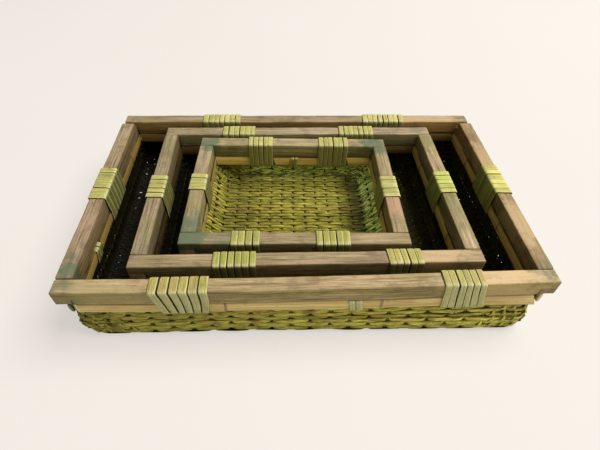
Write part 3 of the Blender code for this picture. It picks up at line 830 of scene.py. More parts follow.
def strip_boxes(tray, side):
    """The boxes of a side's inner and outer strip."""
    return [local_box(f"{tray.name}_{side.name}_{face}_strip", side.matrix) for face in ("inner", "outer")]


def side_of(place):
    """The side that a lashing's name starts with."""
    return place.split("_")[0]


def last_lean(lashing):
    """How far the last strap of a lashing moves sideways on the outer face."""
    return lashing.face_lean if lashing.last_lean is None else lashing.last_lean


def covered_spans(tray, side):
    """Spans that the side's lashings cover, short of the outer straps' middles."""
    spans = []
    for place, lash in LASHINGS[tray.name].items():
        if side_of(place) == side.name:
            half = (lash.pitch * (lash.turns - 1) - lash.width) / 2 + COVER_MARGIN
            ends = (lash.place - half, lash.place + half)
            spans.append((ends, (lash.face_lean, last_lean(lash)), tray.height))
    return spans


def front_drops(tray, side, place):
    """How much lower the rail's and the strip's lower edges lie than straight, at a place along."""
    if (tray.name, side.name) != ("large", "front"):
        return 0.0, 0.0
    tables = (FRONT_RAIL_DROPS, FRONT_STRIP_DROPS)
    return tuple(float(np.interp(place, FRONT_DROP_PLACES, drops)) for drops in tables)


def front_bow(tray, side_name, place):
    """How far the large tray's front rail bows out at a place along it, most of all left of its middle."""
    if (tray.name, side_name) != ("large", "front"):
        return 0.0
    share = np.clip((place - FRONT_BOW_PLACE) / FRONT_BOW_REACH, -1, 1)
    return FRONT_BOW * np.cos(math.pi / 2 * share) ** 2


def add_piece(name, mesh, material, body):
    obj = bpy.data.objects.new(f"{name}_finish", mesh)
    bpy.context.scene.collection.objects.link(obj)
    mesh.materials.append(material)
    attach(obj, body)
    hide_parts(name)


def store(mesh, name, values):
    """Keeps one vector for each vertex, for the material to read."""
    attribute = mesh.attributes.new(name, "FLOAT_VECTOR", "POINT")
    attribute.data.foreach_set("vector", np.asarray(values, np.float32).ravel())


@np.vectorize
def wander(x, y, z):
    """Smooth noise from -1 to 1 at a place, or at each of a run of places."""
    return noise.noise(Vector((x, y, z)))


def smooth_step(value, low, high):
    share = np.clip((value - low) / (high - low), 0, 1)
    return share * share * (3 - 2 * share)


def near_end(value, half, far, near):
    """Rises from 0 at the far distance from an end to 1 at the near one."""
    return smooth_step(value, half - far, half - near)


def unit(vectors):
    return vectors / np.linalg.norm(vectors, axis=-1, keepdims=True)


def running_length(points):
    """Length of a path up to each of its points."""
    return np.concatenate([[0], np.cumsum(np.linalg.norm(np.diff(points, axis=0), axis=1))])


def bend(before, corner, after, reach, steps):
    """Points of a path's bend round a corner, from one reach before it to one reach after it."""
    before, corner, after = Vector(before), Vector(corner), Vector(after)
    start = corner + (before - corner).normalized() * reach
    end = corner + (after - corner).normalized() * reach
    shares = [step / steps for step in range(steps + 1)]
    return [start * (1 - t) ** 2 + corner * 2 * t * (1 - t) + end * t * t for t in shares]


def stations_between(low, high, step):
    count = max(1, round((high - low) / step))
    return [low + (high - low) * index / count for index in range(1, count)]


def bar_mesh(name, outline, sweep, stations, matrix, shape, edge=0.0, seam=0.0):
    """A bar swept from an outline, cut at stations along it, with worn edges but for those at the
    height of its seam, and then shaped by a function of (along, out, up). Its own coordinates are
    kept for the grain."""
    bm = bmesh.new()
    face = bm.faces.new([bm.verts.new(point) for point in outline])
    swept = bmesh.ops.extrude_face_region(bm, geom=[face])["geom"]
    bmesh.ops.translate(bm, verts=[v for v in swept if isinstance(v, bmesh.types.BMVert)], vec=sweep)
    bmesh.ops.recalc_face_normals(bm, faces=bm.faces)
    if edge:
        sharp = [e for e in bm.edges if e.calc_face_angle(0) > SHARP_ANGLE
                 and max(abs(v.co.z - seam) for v in e.verts) > LAP_GAP]
        bmesh.ops.bevel(bm, geom=sharp, offset=edge, segments=RAIL_EDGE_SEGMENTS, profile=0.5, affect="EDGES",
                        clamp_overlap=True)
    for place in stations:
        geometry = bm.verts[:] + bm.edges[:] + bm.faces[:]
        bmesh.ops.bisect_plane(bm, geom=geometry, plane_co=(place, 0, 0), plane_no=(1, 0, 0),
                               dist=CUT_TOLERANCE)
    grain = []
    for vert in bm.verts:
        grain.append(tuple(vert.co))
        vert.co = matrix @ shape(vert.co)
    bmesh.ops.recalc_face_normals(bm, faces=bm.faces)
    mesh = bpy.data.meshes.new(name)
    bm.to_mesh(mesh)
    bm.free()
    store(mesh, "grain", grain)
    mesh.shade_smooth()
    mesh.set_sharp_from_angle(angle=SHARP_ANGLE)
    return mesh


def build_rail(tray, side, seed):
    """A lapped rail: front and back rails lie on the end rails' feet."""
    name = f"{tray.name}_{side.name}_rail"
    (start, _, bottom), (end, _, top) = local_box(name, side.matrix)
    lap = top - (top - bottom) * LAP_SHARE
    shoulder = side.half - tray.rail_width - LAP_GAP
    if side.name in LONG_SIDES:
        lap += LAP_GAP / 2
        outline = [(start, top), (start, lap), (-shoulder, lap), (-shoulder, bottom), (shoulder, bottom),
                   (shoulder, lap), (end, lap), (end, top)]
    else:
        lap -= LAP_GAP / 2
        back = side.half - tray.rail_width - BACK_SHOULDER_GAPS[tray.name]
        outline = [(start, lap), (start, bottom), (end, bottom), (end, lap), (back, lap), (back, top),
                   (-shoulder, top), (-shoulder, lap)]

    def shape(point):
        wave, rise = (RAIL_WAVE * wander(point.x * rate, seed, layer)
                      for rate, layer in zip(RAIL_WAVE_RATES, (0, 7)))
        rate, fast = WORN_RATES
        uneven = RAIL_WAVE * WORN_SHARE * wander(point.x * rate, point.y * fast, point.z * fast + seed)
        low_share = (top - point.z) / (top - bottom)
        rise -= front_drops(tray, side, point.x)[0] * low_share
        bow = front_bow(tray, side.name, point.x)
        return point + Vector((0, bow + wave + uneven, rise - RAIL_WAVE * RAIL_WAVE_MEAN + uneven * WORN_SHARE))

    points = [(along, 0, up) for along, up in outline]
    stations = stations_between(start, end, RAIL_STATION)
    mesh = bar_mesh(name, points, (0, tray.rail_width, 0), stations, side.matrix, shape, RAIL_EDGE, lap)
    finish = wood_material(name, tray, side, bottom, seed)
    add_piece(name, mesh, finish, f"{tray.name}_tray")


def build_strip(tray, side, face, seed):
    """A split strip: flat towards the weave, crowned outside, with the swollen rings of its nodes."""
    name = f"{tray.name}_{side.name}_{face}_strip"
    low, high = local_box(name, side.matrix)
    sign = 1 if face == "outer" else -1
    show, back = (high[1], low[1]) if face == "outer" else (low[1], high[1])
    length, _, height = high - low
    crown = [(show - sign * STRIP_CROWN * abs(2 * share - 1) ** CROWN_POWER, high[2] - height * share)
             for share in CROWN_SHARES]
    rng = random.Random(name)
    rings = STRIP_NODES.get(name) or [low[0] + length * rng.uniform(*shares) for shares in NODE_SHARES]
    slants = [(0, rng.uniform(-END_SLANT, END_SLANT)) for _ in range(2)]
    slants = STRIP_ENDS.get(name, slants)

    def shape(point):
        swell = sum(math.exp(-((point.x - ring) / NODE_REACH) ** 2) for ring in rings) * NODE_SWELL
        shown = 1.0 if abs(point.y - back) > STRIP_CROWN else 0.0
        wave, lift = (STRIP_WAVE * wander(point.x * rate, seed, layer)
                      for rate, layer in zip(STRIP_WAVE_RATES, (3, 9)))
        share = (point.z - low[2]) / height - 0.5
        shift = 0
        if min(point.x - low[0], high[0] - point.x) < STRIP_STATION / 2:
            moved, slant = slants[1 if point.x > 0 else 0]
            shift = moved + slant * share
        rail_drop, strip_drop = front_drops(tray, side, point.x)
        lift -= rail_drop * (0.5 + share) + strip_drop * (0.5 - share)
        bow = front_bow(tray, side.name, point.x)
        return point + Vector((shift, bow + shown * sign * (swell + wave), shown * swell * share + lift))

    points = [(low[0], out, up) for out, up in ((back, high[2]), *crown, (back, low[2]))]
    stations = stations_between(low[0], high[0], STRIP_STATION)
    mesh = bar_mesh(name, points, (length, 0, 0), stations, side.matrix, shape)
    finish = bamboo_material(name, rings, low[0], high[2], covered_spans(tray, side), seed)
    add_piece(name, mesh, finish, f"{tray.name}_tray")


# Section of a strand or strap: (sideways, outwards) as shares of half its width and thickness
ROUND_SECTION = [(math.cos(math.tau * k / 8), math.sin(math.tau * k / 8)) for k in range(8)]
PLAIN_SECTION = [(math.cos(math.tau * k / 6), math.sin(math.tau * k / 6)) for k in range(6)]
STRAP_SECTION = [(1, 0), (0.88, 0.72), (0.45, 1), (-0.45, 1), (-0.88, 0.72), (-1, 0), (-0.88, -0.72),
                 (-0.45, -1), (0.45, -1), (0.88, -0.72)]


class Strands:
    """Collects closed strands for one mesh. Each vertex keeps (along, across, key of its strand)."""

    def __init__(self, name):
        self.name = name
        self.points = []
        self.faces = []
        self.facts = []
        self.zones = []
        self.count = 0

    def add(self, centres, inward, widths, thicknesses, key, section, zones, woven=True):
        tangents = unit(np.gradient(centres, axis=0))
        normals = unit(inward - (inward * tangents).sum(1, keepdims=True) * tangents)
        across = np.cross(tangents, normals)
        rings, size = len(centres), len(section)
        sides = np.array(section)
        half = np.stack([widths, thicknesses], 1)[:, None, :] / 2 * sides[None]
        points = centres[:, None] + across[:, None] * half[..., :1] + normals[:, None] * half[..., 1:]
        self.points.append(points.reshape(-1, 3))
        facts = np.empty((rings, size, 3))
        facts[..., 0] = running_length(centres)[:, None]
        facts[..., 1] = sides[None, :, 0]
        facts[..., 2] = key
        self.facts.append(facts.reshape(-1, 3))
        zones = np.repeat(zones, size, 0)
        if woven:
            zones[:, 0] = np.tile(sides[:, 1], rings)
        self.zones.append(zones)
        ring_starts = self.count + np.arange(rings - 1)[:, None] * size
        first = ring_starts + np.arange(size)
        after = ring_starts + (np.arange(size) + 1) % size
        quads = np.stack([first, first + size, after + size, after], -1).reshape(-1, 4)
        self.faces += quads.tolist()
        last = self.count + (rings - 1) * size
        self.faces.append(list(range(self.count, self.count + size)))
        self.faces.append(list(range(last + size - 1, last - 1, -1)))
        self.count += rings * size

    def mesh(self, matrix):
        turned = np.array(matrix)
        points = np.concatenate(self.points) @ turned[:3, :3].T + turned[:3, 3]
        mesh = bpy.data.meshes.new(self.name)
        mesh.from_pydata(points.tolist(), [], self.faces)
        store(mesh, "strand", np.concatenate(self.facts))
        store(mesh, "zone", np.concatenate(self.zones))
        mesh.shade_smooth()
        return mesh


def mirrored_path(points, normals, mirror, step):
    """A path that goes straight on from its last point to its own mirror image, and its normals."""
    end = points[-1] * mirror
    count = max(3, round(float(np.linalg.norm(end - points[-1])) / step))
    run = np.linspace(points[-1], end, count)[1:-1]
    level = np.repeat(normals[-1:], len(run), 0)
    return [np.concatenate([values, between, values[::-1] * mirror])
            for values, between in ((points, run), (normals, level))]


def on_profile(profile, down):
    """How far a wall stands in, and its height, at a distance down along it."""
    return [np.interp(down, profile[:, 0], profile[:, column]) for column in (1, 2)]


class Weave:
    """The surface in the middle of a tray's weave, and the strands that are woven along it."""

    def __init__(self, tray):
        self.tray = tray
        self.facts = tray.facts
        self.middle = tray.facts.middle
        self.half_x, self.half_y = tray.length / 2, tray.depth / 2
        self.top = tray.height - tray.rail_height - STRAND_TOP
        self.long = self.profile("front", tray.facts.long_in)
        self.ends = self.profile("left", tray.facts.end_in)
        self.rng = random.Random(tray.name)
        self.seed = self.rng.uniform(0, 50)
        self.strands = Strands(f"{tray.name}_woven_body")

    def profile(self, side_name, base_in):
        """Points of a wall from the rim down to the floor: (length, distance in, height)."""
        (_, inner), (outer, _) = strip_boxes(self.tray, read_side(self.tray, side_name))
        front = side_name == "front"
        held_out = outer[1] - STRAND_THICKNESS if front else (inner[1] + outer[1]) / 2
        held = self.tray.rail_width - held_out
        corners = [(held, self.top), (held, self.tray.foot - HELD_DROP)]
        if front:
            corners.append((base_in, self.tray.foot - WALL_DROP))
        corners += [(base_in, self.middle), (base_in + FLOOR_RUN, self.middle)]
        points = [corners[0]]
        for before, corner, after in zip(corners, corners[1:], corners[2:]):
            reach = self.facts.bend if corner[1] == self.middle else HELD_BEND
            points += [tuple(point) for point in bend(before, corner, after, reach, BEND_STEPS)]
        points = np.array(points)
        return np.column_stack([running_length(points), points])

    def set_in(self, z):
        """How far the long walls and the end walls stand in at a height."""
        z = np.maximum(z, self.middle + FLAT_MARGIN)
        return [np.interp(z, wall[::-1, 2], wall[::-1, 1]) for wall in (self.long[:-1], self.ends[:-1])]

    def corner_radius(self, z):
        return RIM_RADIUS + (BASE_RADIUS - RIM_RADIUS) * smooth_step(z, self.tray.foot, self.middle) ** 2

    def held(self, z, reach):
        """How far the strips hold the weave at a height, from 0 below their foot to 1 above it."""
        below, above = reach
        return smooth_step(z, self.tray.foot - below, self.tray.foot + above)

    def samples(self, reach, order):
        """Places along a strand: close together where it dives behind a stake."""
        spacing = self.facts.stake
        parity = (order + (1 if self.facts.shown > 0 else 0)) % 2
        count = math.ceil(reach / spacing / 2) + 1
        dives = spacing * (2 * np.arange(-count, count + 1) + parity)
        places = (dives[:, None] + spacing * np.array(POINT_SHARES)).ravel()
        return np.concatenate([[-reach], places[np.abs(places) < reach - STRAND_END], [reach]])

    def wall(self, a, z):
        """Point and inward direction on the wall of the front right corner. a is measured along the
        wall from the middle of the corner, and is less than zero on the front."""
        z = np.broadcast_to(z, a.shape)
        long_in, end_in = self.set_in(z)
        radius = self.corner_radius(z)
        angle = np.clip(a / radius + math.pi / 4, 0, math.pi / 2)
        straight = a - (angle - math.pi / 4) * radius
        x = self.half_x - end_in - radius + radius * np.sin(angle) + np.where(angle <= 0, straight, 0)
        y = radius - (self.half_y - long_in) - radius * np.cos(angle)
        y += np.where(angle >= math.pi / 2, straight, 0)
        long_below, end_below = self.set_in(z - LEAN_STEP)
        long_lean, end_lean = (long_below - long_in) / LEAN_STEP, (end_below - end_in) / LEAN_STEP
        lean = long_lean * np.cos(angle) ** 2 + end_lean * np.sin(angle) ** 2
        inward = unit(np.stack([-np.sin(angle), np.cos(angle), lean], 1))
        return np.stack([x, y, z], 1), inward

    def sag(self, points):
        """The large tray's walls belly out, most of all at its front corners, and follow its bow."""
        if self.tray.name != "large":
            return points
        x, y, z = points.T
        half_x, half_y, foot = self.half_x, self.half_y, self.tray.foot
        low = 1 - smooth_step(z, *(share * foot for share in BELLY_HEIGHTS))
        wall = near_end(np.abs(y), half_y, *LONG_BELLY_REACH)
        end = near_end(np.abs(x), half_x, *END_BELLY_REACH)
        front = smooth_step(-y, -0.05, half_y - 0.01)
        right = smooth_step(x, -0.10, half_x - 0.04)
        near_corner = smooth_step(-y, 0.03, half_y - 0.02)
        moved = points.copy()
        moved[:, 1] -= front_bow(self.tray, "front", x) * smooth_step(z, 0.5 * foot, foot) * (y < 0)
        moved[:, 1] += np.sign(y) * low * wall * (FRONT_BELLY + RIGHT_BELLY * right * front)
        share = np.clip(z / foot, 0, 1)
        left = near_corner * np.where(x < 0, LEFT_CORNER_BELLY * 4 * share * (1 - share), 0)
        belly = np.where(x < 0, END_BELLY, END_BELLY + RIGHT_END_BELLY * near_corner)
        moved[:, 0] += np.sign(x) * end * (belly * low + left)
        return moved

    def warp(self, u, v):
        """How far the stakes wander sideways."""
        return STAKE_WARP * wander(u * WARP_RATES[0], v * WARP_RATES[1], self.seed)

    def add(self, base, centres, inward, widths, thicknesses, wave, section):
        zones = self.zones(base, wave)
        self.strands.add(self.sag(centres), inward, widths, thicknesses, self.rng.random(), section, zones)

    def weave(self, base, inward, u, v, order, pitch, held, section):
        """Adds one strand: over and under the stakes along the path given by its points."""
        facts = self.facts
        phase = math.pi * ((u + self.warp(u, v)) / facts.stake + order)
        apart = np.arccos(-facts.shown * np.cos(phase)) / math.pi
        climb = facts.loose * smooth_step(base[:, 2], self.middle + FLOOR_MARGIN, self.middle + 0.010)
        wave = facts.shown * (1 - 2 * np.exp(-(apart / facts.dive / (1 + climb)) ** 2))
        jitter = self.rng.uniform(0, 90)
        size = self.rng.uniform(*STRAND_SIZES)
        drift = wander(u * DRIFT_RATE, jitter, 2)
        swell = wander(u * SWELL_RATE, jitter, 5)
        depth = facts.wave * (1 + LOOSE_WAVE_SHARE * climb) * (1 - (1 - HELD_WAVE_SHARE) * held)
        across = np.cross(unit(np.gradient(base, axis=0)), inward)
        centres = base + inward * (wave * depth + STRAND_LIFT * swell)[:, None]
        centres += across * (drift * pitch * facts.stray)[:, None]
        peak = 1 - np.exp(-(apart / facts.float) ** 2)
        widths = pitch * size * (facts.least + facts.swell * peak) * (1 + SWELL_SHARE * swell)
        full = STRAND_THIN_SHARE + (1 - STRAND_THIN_SHARE) * peak
        thick = STRAND_THICKNESS * size * full * (1 - HELD_THIN_SHARE * held)
        self.add(base, centres, inward, widths, thick, wave, section)

    def zones(self, base, wave):
        """For the material: room for the section's side, the wave's side, and how far the place takes painted
        light on the small tray's back and right walls and painted shade inside the other trays."""
        x, y, z = base.T
        # Painted light for the small tray's walls; painted shade for the other trays' insides
        if self.tray.name == "small":
            rise = smooth_step(z, self.middle - 0.001, self.middle + 0.006)
            lit_corner = near_end(-x, self.half_x, *LIT_CORNER)
            behind = near_end(y, self.half_y, *SMALL_BACK_LIGHT_REACH) * (1 - LIT_CORNER_DEPTH * lit_corner)
            tone = rise * np.maximum(SMALL_BACK_LIGHT_DEPTH * behind, near_end(x, self.half_x, *SMALL_RIGHT_LIGHT_REACH))
        else:
            near_edge = np.maximum(near_end(np.abs(x), self.half_x, *INSIDE_END_SHADE_REACH),
                                   near_end(np.abs(y), self.half_y, *INSIDE_LONG_SHADE_REACH))
            tone = INSIDE_LEAST + (np.where(x > 0, INSIDE_RIGHT, 1.0) - INSIDE_LEAST) * near_edge
        return np.stack([np.zeros(len(base)), np.broadcast_to(wave, len(base)), tone], 1)

    def pulled_in(self, y, z):
        """How far the rounded corners pull an end wall in at a place across the tray."""
        radius = self.corner_radius(z)
        past = np.clip(abs(y) - (self.half_y - self.set_in(z)[0] - radius), 0, radius)
        return radius - np.sqrt(radius ** 2 - past ** 2)

    def add_floor_strand(self, y, order):
        """Up over the left end wall, across the floor and up the right end wall."""
        wall_length = self.ends[-1, 0]
        pulled = self.pulled_in(y, self.middle)
        flat = self.half_x - self.ends[-1, 1] - pulled
        climbs = pulled < CLIMB_LIMIT_SHARE * BASE_RADIUS
        u = self.samples(flat + (wall_length if climbs else wall_length - self.ends[-2, 0]), order)
        inset, z = on_profile(self.ends, np.clip(flat + wall_length - np.abs(u), 0, wall_length))
        x = np.where(np.abs(u) <= flat, u, np.sign(u) * (self.half_x - inset - self.pulled_in(y, z)))
        base = np.stack([x, np.full(len(u), y), z], 1)
        tangent = unit(np.gradient(base, axis=0))
        inward = unit(np.stack([-tangent[:, 2], np.zeros(len(u)), tangent[:, 0]], 1))
        section = ROUND_SECTION if self.tray.name == "small" else PLAIN_SECTION
        self.weave(base, inward, u, y, order, FLOOR_PITCH, self.held(z, FLOOR_STRAND_HELD), section)

    def add_wall_row(self, down, order, back):
        """Along the front or back wall and round both corners, where it ends behind the end wall."""
        z = float(on_profile(self.long, down)[1])
        corner, inward = self.wall(np.linspace(-BASE_RADIUS, ROW_PAST_CORNER, CORNER_POINTS), z)
        left = (-1, 1, 1)
        base, normals = mirrored_path(corner[::-1] * left, inward[::-1] * left, left, ROW_STEP)
        lengths = running_length(base)
        middle = lengths[-1] / 2
        u = self.samples(middle, order)
        base, normals = (np.stack([np.interp(u + middle, lengths, values) for values in path.T], 1)
                         for path in (base, normals))
        mirror = (1, -1 if back else 1, 1)
        base, normals = base * mirror, unit(normals) * mirror
        held = self.held(base[:, 2], WALL_ROW_HELD)
        self.weave(base, normals, u, base[0, 1] + down, order, WALL_PITCH, held, ROUND_SECTION)

    def add_corner_strand(self, start, side, back, order):
        """A strand that climbs slantwise from the base towards the corner, over and under the rows."""
        low = self.middle + FLOOR_MARGIN
        rise = self.top - low
        run = rise / CORNER_SLOPE + self.rng.uniform(-CORNER_STRAY, CORNER_STRAY)
        climb = np.linspace(0, 1, round(rise / CORNER_STEP))
        z = low + rise * climb
        mirror = (side, -1 if back else 1, 1)
        base, inward = (values * mirror for values in self.wall(start + run * climb, z))
        wave = np.cos(math.pi * (climb * math.hypot(run, rise) / CORNER_SPACING + order))
        held = self.held(z, WALL_ROW_HELD)
        flatter, thinner = (1 - share * held for share in CORNER_HELD_SHARES)
        depth = CORNER_WAVE * wave * flatter * smooth_step(climb, *CORNER_START)
        peak = np.abs(wave) ** CORNER_POWER
        wide, thick = (least + swell * peak for least, swell in (CORNER_WIDTH_SHARES, CORNER_THICK_SHARES))
        widths = CORNER_PITCH * wide * self.rng.uniform(*CORNER_WIDTHS)
        thick = STRAND_THICKNESS * thick * thinner
        self.add(base, base + inward * depth[:, None], inward, widths, thick, wave, ROUND_SECTION)

    def add_stake(self, x):
        """A stake from rim to rim: down the front wall, across the floor and up the back wall."""
        wall_length = self.long[-1, 0]
        flat = self.half_y - self.long[-1, 1]
        reach = flat + wall_length
        v = np.linspace(-reach, reach, round(2 * reach / STAKE_STEP))
        inset, z = on_profile(self.long, np.clip(reach - np.abs(v), 0, wall_length))
        y = np.where(np.abs(v) <= flat, v, np.sign(v) * (self.half_y - inset))
        base = np.stack([x - self.warp(x, y), y, z], 1)
        tangent = unit(np.gradient(base, axis=0))
        inward = unit(np.stack([np.zeros(len(v)), -tangent[:, 2], tangent[:, 1]], 1))
        self.add_dark(base, inward)

    def add_end_stake(self, z, side):
        """A stake across an end wall, at a height."""
        corner, inward = self.wall(np.linspace(*END_STAKE_BEND, CORNER_POINTS), z)
        base, normals = mirrored_path(corner, inward, (1, -1, 1), STAKE_STEP)
        self.add_dark(base * (side, 1, 1), normals * (side, 1, 1))

    def add_dark(self, base, inward):
        """A stake's own strand, which takes the painted seam shade of a strand's edge all over, paler where
        it shows on the outside."""
        widths, thick = np.full(len(base), STAKE_WIDTH), np.full(len(base), STAKE_THICKNESS)
        self.add(base, base, inward, widths, thick, 0.0, PLAIN_SECTION)
        self.strands.facts[-1][:, 1] = 1.0 if self.facts.shown > 0 else STAKE_EDGE_SHARE

    def build(self):
        spacing = self.facts.stake
        half = self.half_y - self.facts.long_in - self.facts.bend * FLOOR_BEND_SHARE
        rows = round(2 * half / FLOOR_PITCH)
        for order in range(rows):
            self.add_floor_strand(-half + 2 * half * (order + 0.5) / rows, order)
        floor_edge = self.long[-1, 0] - (self.long[-1, 1] - (self.half_y - half))
        for rank in range(int((floor_edge - ROW_EDGE) / WALL_PITCH)):
            down = floor_edge - WALL_PITCH * (rank + 0.5)
            self.add_wall_row(down, -1 - rank, False)
            self.add_wall_row(down, rows + rank, True)
        for order, start in enumerate(np.arange(-self.facts.corner, CORNER_LAST, CORNER_PITCH)):
            for side in (-1, 1):
                for back in (False, True):
                    self.add_corner_strand(start, side, back, order)
        reach = int((self.half_x - self.facts.end_in - BASE_RADIUS * STAKE_CORNER_SHARE) / spacing)
        for index in range(-reach, reach + 1):
            self.add_stake(index * spacing)
        flat = self.half_x - self.ends[-1, 1]
        for index in range(reach + 1, reach + 1 + END_STAKES):
            down = self.ends[-1, 0] - (index * spacing - flat)
            z = float(on_profile(self.ends, down)[1])
            if down > END_STAKE_DOWN and z > self.middle + END_STAKE_RISE:
                for side in (-1, 1):
                    self.add_end_stake(z, side)


def build_weave(tray):
    name = f"{tray.name}_woven_body"
    weave = Weave(tray)
    weave.build()
    mesh = weave.strands.mesh(tray.matrix)
    add_piece(name, mesh, rush_material(name, tray), f"{tray.name}_tray")


def steps_between(start, end):
    """Points between two others, about one strap step apart."""
    run = end - start
    pieces = max(1, round(run.length / STRAP_STEP))
    return [start + run * share / pieces for share in range(1, pieces)]


def rounded_section(corners):
    """Points round a closed outline with its corners rounded, and the place of each corner on it."""
    points, marks = [], []
    for index in range(len(corners)):
        before, corner, after = (Vector(corners[(index + shift) % len(corners)]) for shift in (-1, 0, 1))
        reach = min(STRAP_BEND, *((other - corner).length * BEND_LIMIT_SHARE for other in (before, after)))
        rounded = bend(before, corner, after, reach, 2)
        if points:
            points += steps_between(points[-1], rounded[0])
        marks.append(len(points) + 1)
        points += rounded
    points += steps_between(points[-1], points[0])
    return np.array([tuple(point) for point in points]), marks


def winding_section(tray, side, tie, place):
    """Outline that the straps are drawn round, from the foot of the inner strip over the rail."""
    (inner, _), (_, outer) = strip_boxes(tray, side)
    rail_drop, strip_drop = front_drops(tray, side, place)
    bow = front_bow(tray, side.name, place)
    room = STRAP_OFFSET + STRAP_THICKNESS / 2
    low_in, high_out = inner[1] - room + bow, outer[1] + room + bow
    strip_top = tray.height - tray.rail_height
    if tie:
        over = strip_top - STRAP_THICKNESS - rail_drop
        upper = [(low_in, over), (high_out, over)]
    else:
        rail_top, rail_out = tray.height + room, tray.rail_width + room + bow
        upper = [(low_in, strip_top), (bow - room, rail_top), (rail_out, rail_top),
                 (rail_out, strip_top - rail_drop)]
    return [(low_in, tray.foot - room), *upper, (high_out, tray.foot - strip_drop - room)]


def build_winding(tray, kind, place, lashing, seed):
    """One unbroken flat strap wound round rail and strips, each turn a little different."""
    name = f"{tray.name}_{place}_{kind}"
    side = read_side(tray, side_of(place))
    corners = winding_section(tray, side, kind == "tie", lashing.place)
    outline, marks = rounded_section(corners)
    lengths = running_length(np.concatenate([outline, outline[:1]]))
    marks_at = lengths[marks]
    top_start = 1 if kind == "tie" else 2
    stops = [marks_at[0], *marks_at[[top_start, top_start + 1, -1]], lengths[-1] + marks_at[0]]
    inside_lean = lashing.pitch - lashing.top_lean - lashing.face_lean
    leans = np.cumsum([0, inside_lean, lashing.top_lean, lashing.face_lean, 0.0])
    middle_shift = float(np.interp((stops[1] + stops[2]) / 2, stops, leans))
    start = lashing.place - lashing.pitch * (lashing.turns - 1) / 2 - middle_shift

    # Each turn is a row and each point of the outline a column
    samples, size = lengths[:-1], len(outline)
    turns = np.arange(lashing.turns)[:, None]
    rng = random.Random(name)
    draws = [(rng.uniform(-1, 1), rng.uniform(*TURN_SWELLS)) for _ in range(lashing.turns)]
    sways, swells = np.array(draws).T[..., None]
    further = (last_lean(lashing) - lashing.face_lean) / (lashing.turns - 1)
    bent = np.clip((samples - stops[2]) / (stops[3] - stops[2]), 0, 1) ** TURN_BEND_POWER
    bent *= 1 - np.clip((samples - stops[3]) / (stops[4] - stops[3]), 0, 1)
    swing = sways * lashing.pitch * TURN_SWAY_SHARE * np.sin(math.pi * np.arange(size) / size)
    flat = np.empty((lashing.turns, size, 3))
    flat[..., 0] = start + turns * lashing.pitch + np.interp(samples, stops, leans) + swing
    flat[..., 0] += further * turns * bent
    flat[..., 1:] = outline
    flat = flat.reshape(-1, 3)
    # Creases carry the pale line at the bends, partly wear and partly painted highlight
    creases = (np.exp(-((samples - stops[2]) / CREASE_REACH) ** 2)
               + INNER_CREASE_SHARE * np.exp(-((samples - stops[1]) / CREASE_REACH) ** 2))
    on_face = (samples > stops[2]) & (samples < stops[3])
    inside = (samples < stops[1]) | (samples > stops[3])
    zones = np.tile(np.stack([np.minimum(creases, 1.0), on_face, inside], 1), (lashing.turns, 1))
    slimmed = 1 + further / lashing.pitch * bent - SLANT_SHARE * abs(lashing.face_lean / FACE_DROP) * on_face

    count = len(flat)
    tangent = unit(np.gradient(flat, axis=0) * (0, 1, 1))
    outward = np.stack([np.zeros(count), -tangent[:, 2], tangent[:, 1]], 1)
    away = flat[:, 1:] - np.mean(corners, 0)
    outward *= np.sign((outward[:, 1:] * away).sum(1, keepdims=True))
    flat += outward * (TURN_LIFT * (1 + wander(np.arange(count) * TURN_LIFT_RATE, seed, 4)))[:, None]
    ease = wander(np.arange(count) * TURN_EASE_RATE, seed, 8).reshape(-1, size)
    widths = (lashing.width * (1 + TURN_EASE * ease + swells) * slimmed).ravel()
    matrix = np.array(side.matrix)
    centres = flat @ matrix[:3, :3].T + matrix[:3, 3]
    outward = outward @ matrix[:3, :3].T
    strands = Strands(name)
    thick = np.full(count, STRAP_THICKNESS)
    strands.add(centres, outward, widths, thick, rng.random(), STRAP_SECTION, zones, False)
    # Painted shade on the straps' sides within the tray, darker on the left
    within = SHADED_INSIDE if side.name == "left" else OPEN_INSIDE
    finish = strap_material(name, STRAP_FACES[tray.name], within, seed)
    add_piece(name, strands.mesh(Matrix.Identity(4)), finish, f"{tray.name}_tray")


def build_tray(name):
    tray = read_tray(name)
    seed = len(name) * 1.7
    for side_name in DIRECTIONS:
        side = read_side(tray, side_name)
        seed += 1.3
        build_rail(tray, side, seed)
        build_strip(tray, side, "outer", seed + 0.4)
        build_strip(tray, side, "inner", seed + 0.8)
    build_weave(tray)
    for kind, table in (("lashing", LASHINGS[name]), ("tie", TIES[name])):
        for place, lashing in table.items():
            seed += 0.9
            build_winding(tray, kind, place, lashing, seed)


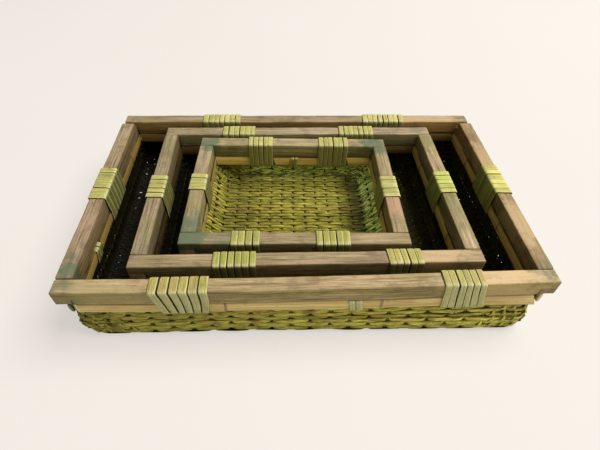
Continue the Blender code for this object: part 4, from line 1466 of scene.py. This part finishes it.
def build_floor():
    """A pale, plain floor with a faint variation, so that it isn't dead flat in colour."""
    s = Shader("floor")
    drift = s.noise(s.place, 1.4, 2.0)
    grain = s.noise(s.place, 900.0, 2.0)
    colour = s.mix(drift, *(srgb(*tone) for tone in FLOOR_TONES))
    roughness = s.range(grain, 0.0, 1.0, 0.75, 0.9)
    material = s.finish(s.shade(colour, FLOOR_SHADE), roughness, 0.2, (grain, 0.05, 0.0002))
    glow = s.node("Emission", {"Color": colour, "Strength": 1.0}).outputs["Emission"]
    rays = s.node("LightPath").outputs
    seen = s.most(s.most(rays["Is Camera Ray"], rays["Is Glossy Ray"]), rays["Is Transmission Ray"])
    share = s.times(seen, FLOOR_GLOW_SHARE)
    shown = s.node("MixShader", {0: share, 1: s.surface.outputs["BSDF"], 2: glow}).outputs["Shader"]
    s.set(s.tree.nodes["Material Output"].inputs["Surface"], shown)
    bm = bmesh.new()
    bmesh.ops.create_grid(bm, x_segments=2, y_segments=2, size=FLOOR_SIZE)
    mesh = bpy.data.meshes.new("floor")
    bm.to_mesh(mesh)
    bm.free()
    mesh.materials.append(material)
    floor = bpy.data.objects.new("floor", mesh)
    floor.location.z = CAD_BOX[0][2] - FLOOR_GAP
    bpy.context.scene.collection.objects.link(floor)


def build_light():
    """A dim world and one soft light from above."""
    world = bpy.data.worlds.new("studio")
    world.use_nodes = True
    background = world.node_tree.nodes["Background"]
    background.inputs["Color"].default_value = WORLD_COLOUR
    background.inputs["Strength"].default_value = WORLD_STRENGTH
    bpy.context.scene.world = world
    data = bpy.data.lights.new("key", "AREA")
    data.shape = "RECTANGLE"
    data.size, data.size_y = KEY_SIZE
    data.energy = KEY_POWER
    data.color = KEY_COLOUR
    light = bpy.data.objects.new("key", data)
    light.location = KEY_PLACE
    light.rotation_euler = (Vector(KEY_TARGET) - Vector(KEY_PLACE)).to_track_quat("-Z", "Y").to_euler()
    bpy.context.scene.collection.objects.link(light)


def build_camera():
    """The photograph's camera, solved from the corners of the three rims."""
    data = bpy.data.cameras.new("camera")
    data.sensor_width = CAMERA_SENSOR
    data.lens = CAMERA_LENS
    data.clip_start = CAMERA_NEAR
    camera = bpy.data.objects.new("camera", data)
    matrix = Matrix.Identity(4)
    for column, axis in enumerate((CAMERA_RIGHT, CAMERA_UP, -CAMERA_FORWARD)):
        for row in range(3):
            matrix[row][column] = axis[row]
    matrix.translation = CAMERA_PLACE
    camera.matrix_world = matrix
    bpy.context.scene.collection.objects.link(camera)
    bpy.context.scene.camera = camera


for tray_name in TRAYS:
    build_tray(tray_name)
build_floor()
build_light()
build_camera()
bpy.context.scene.view_settings.view_transform = "Standard"
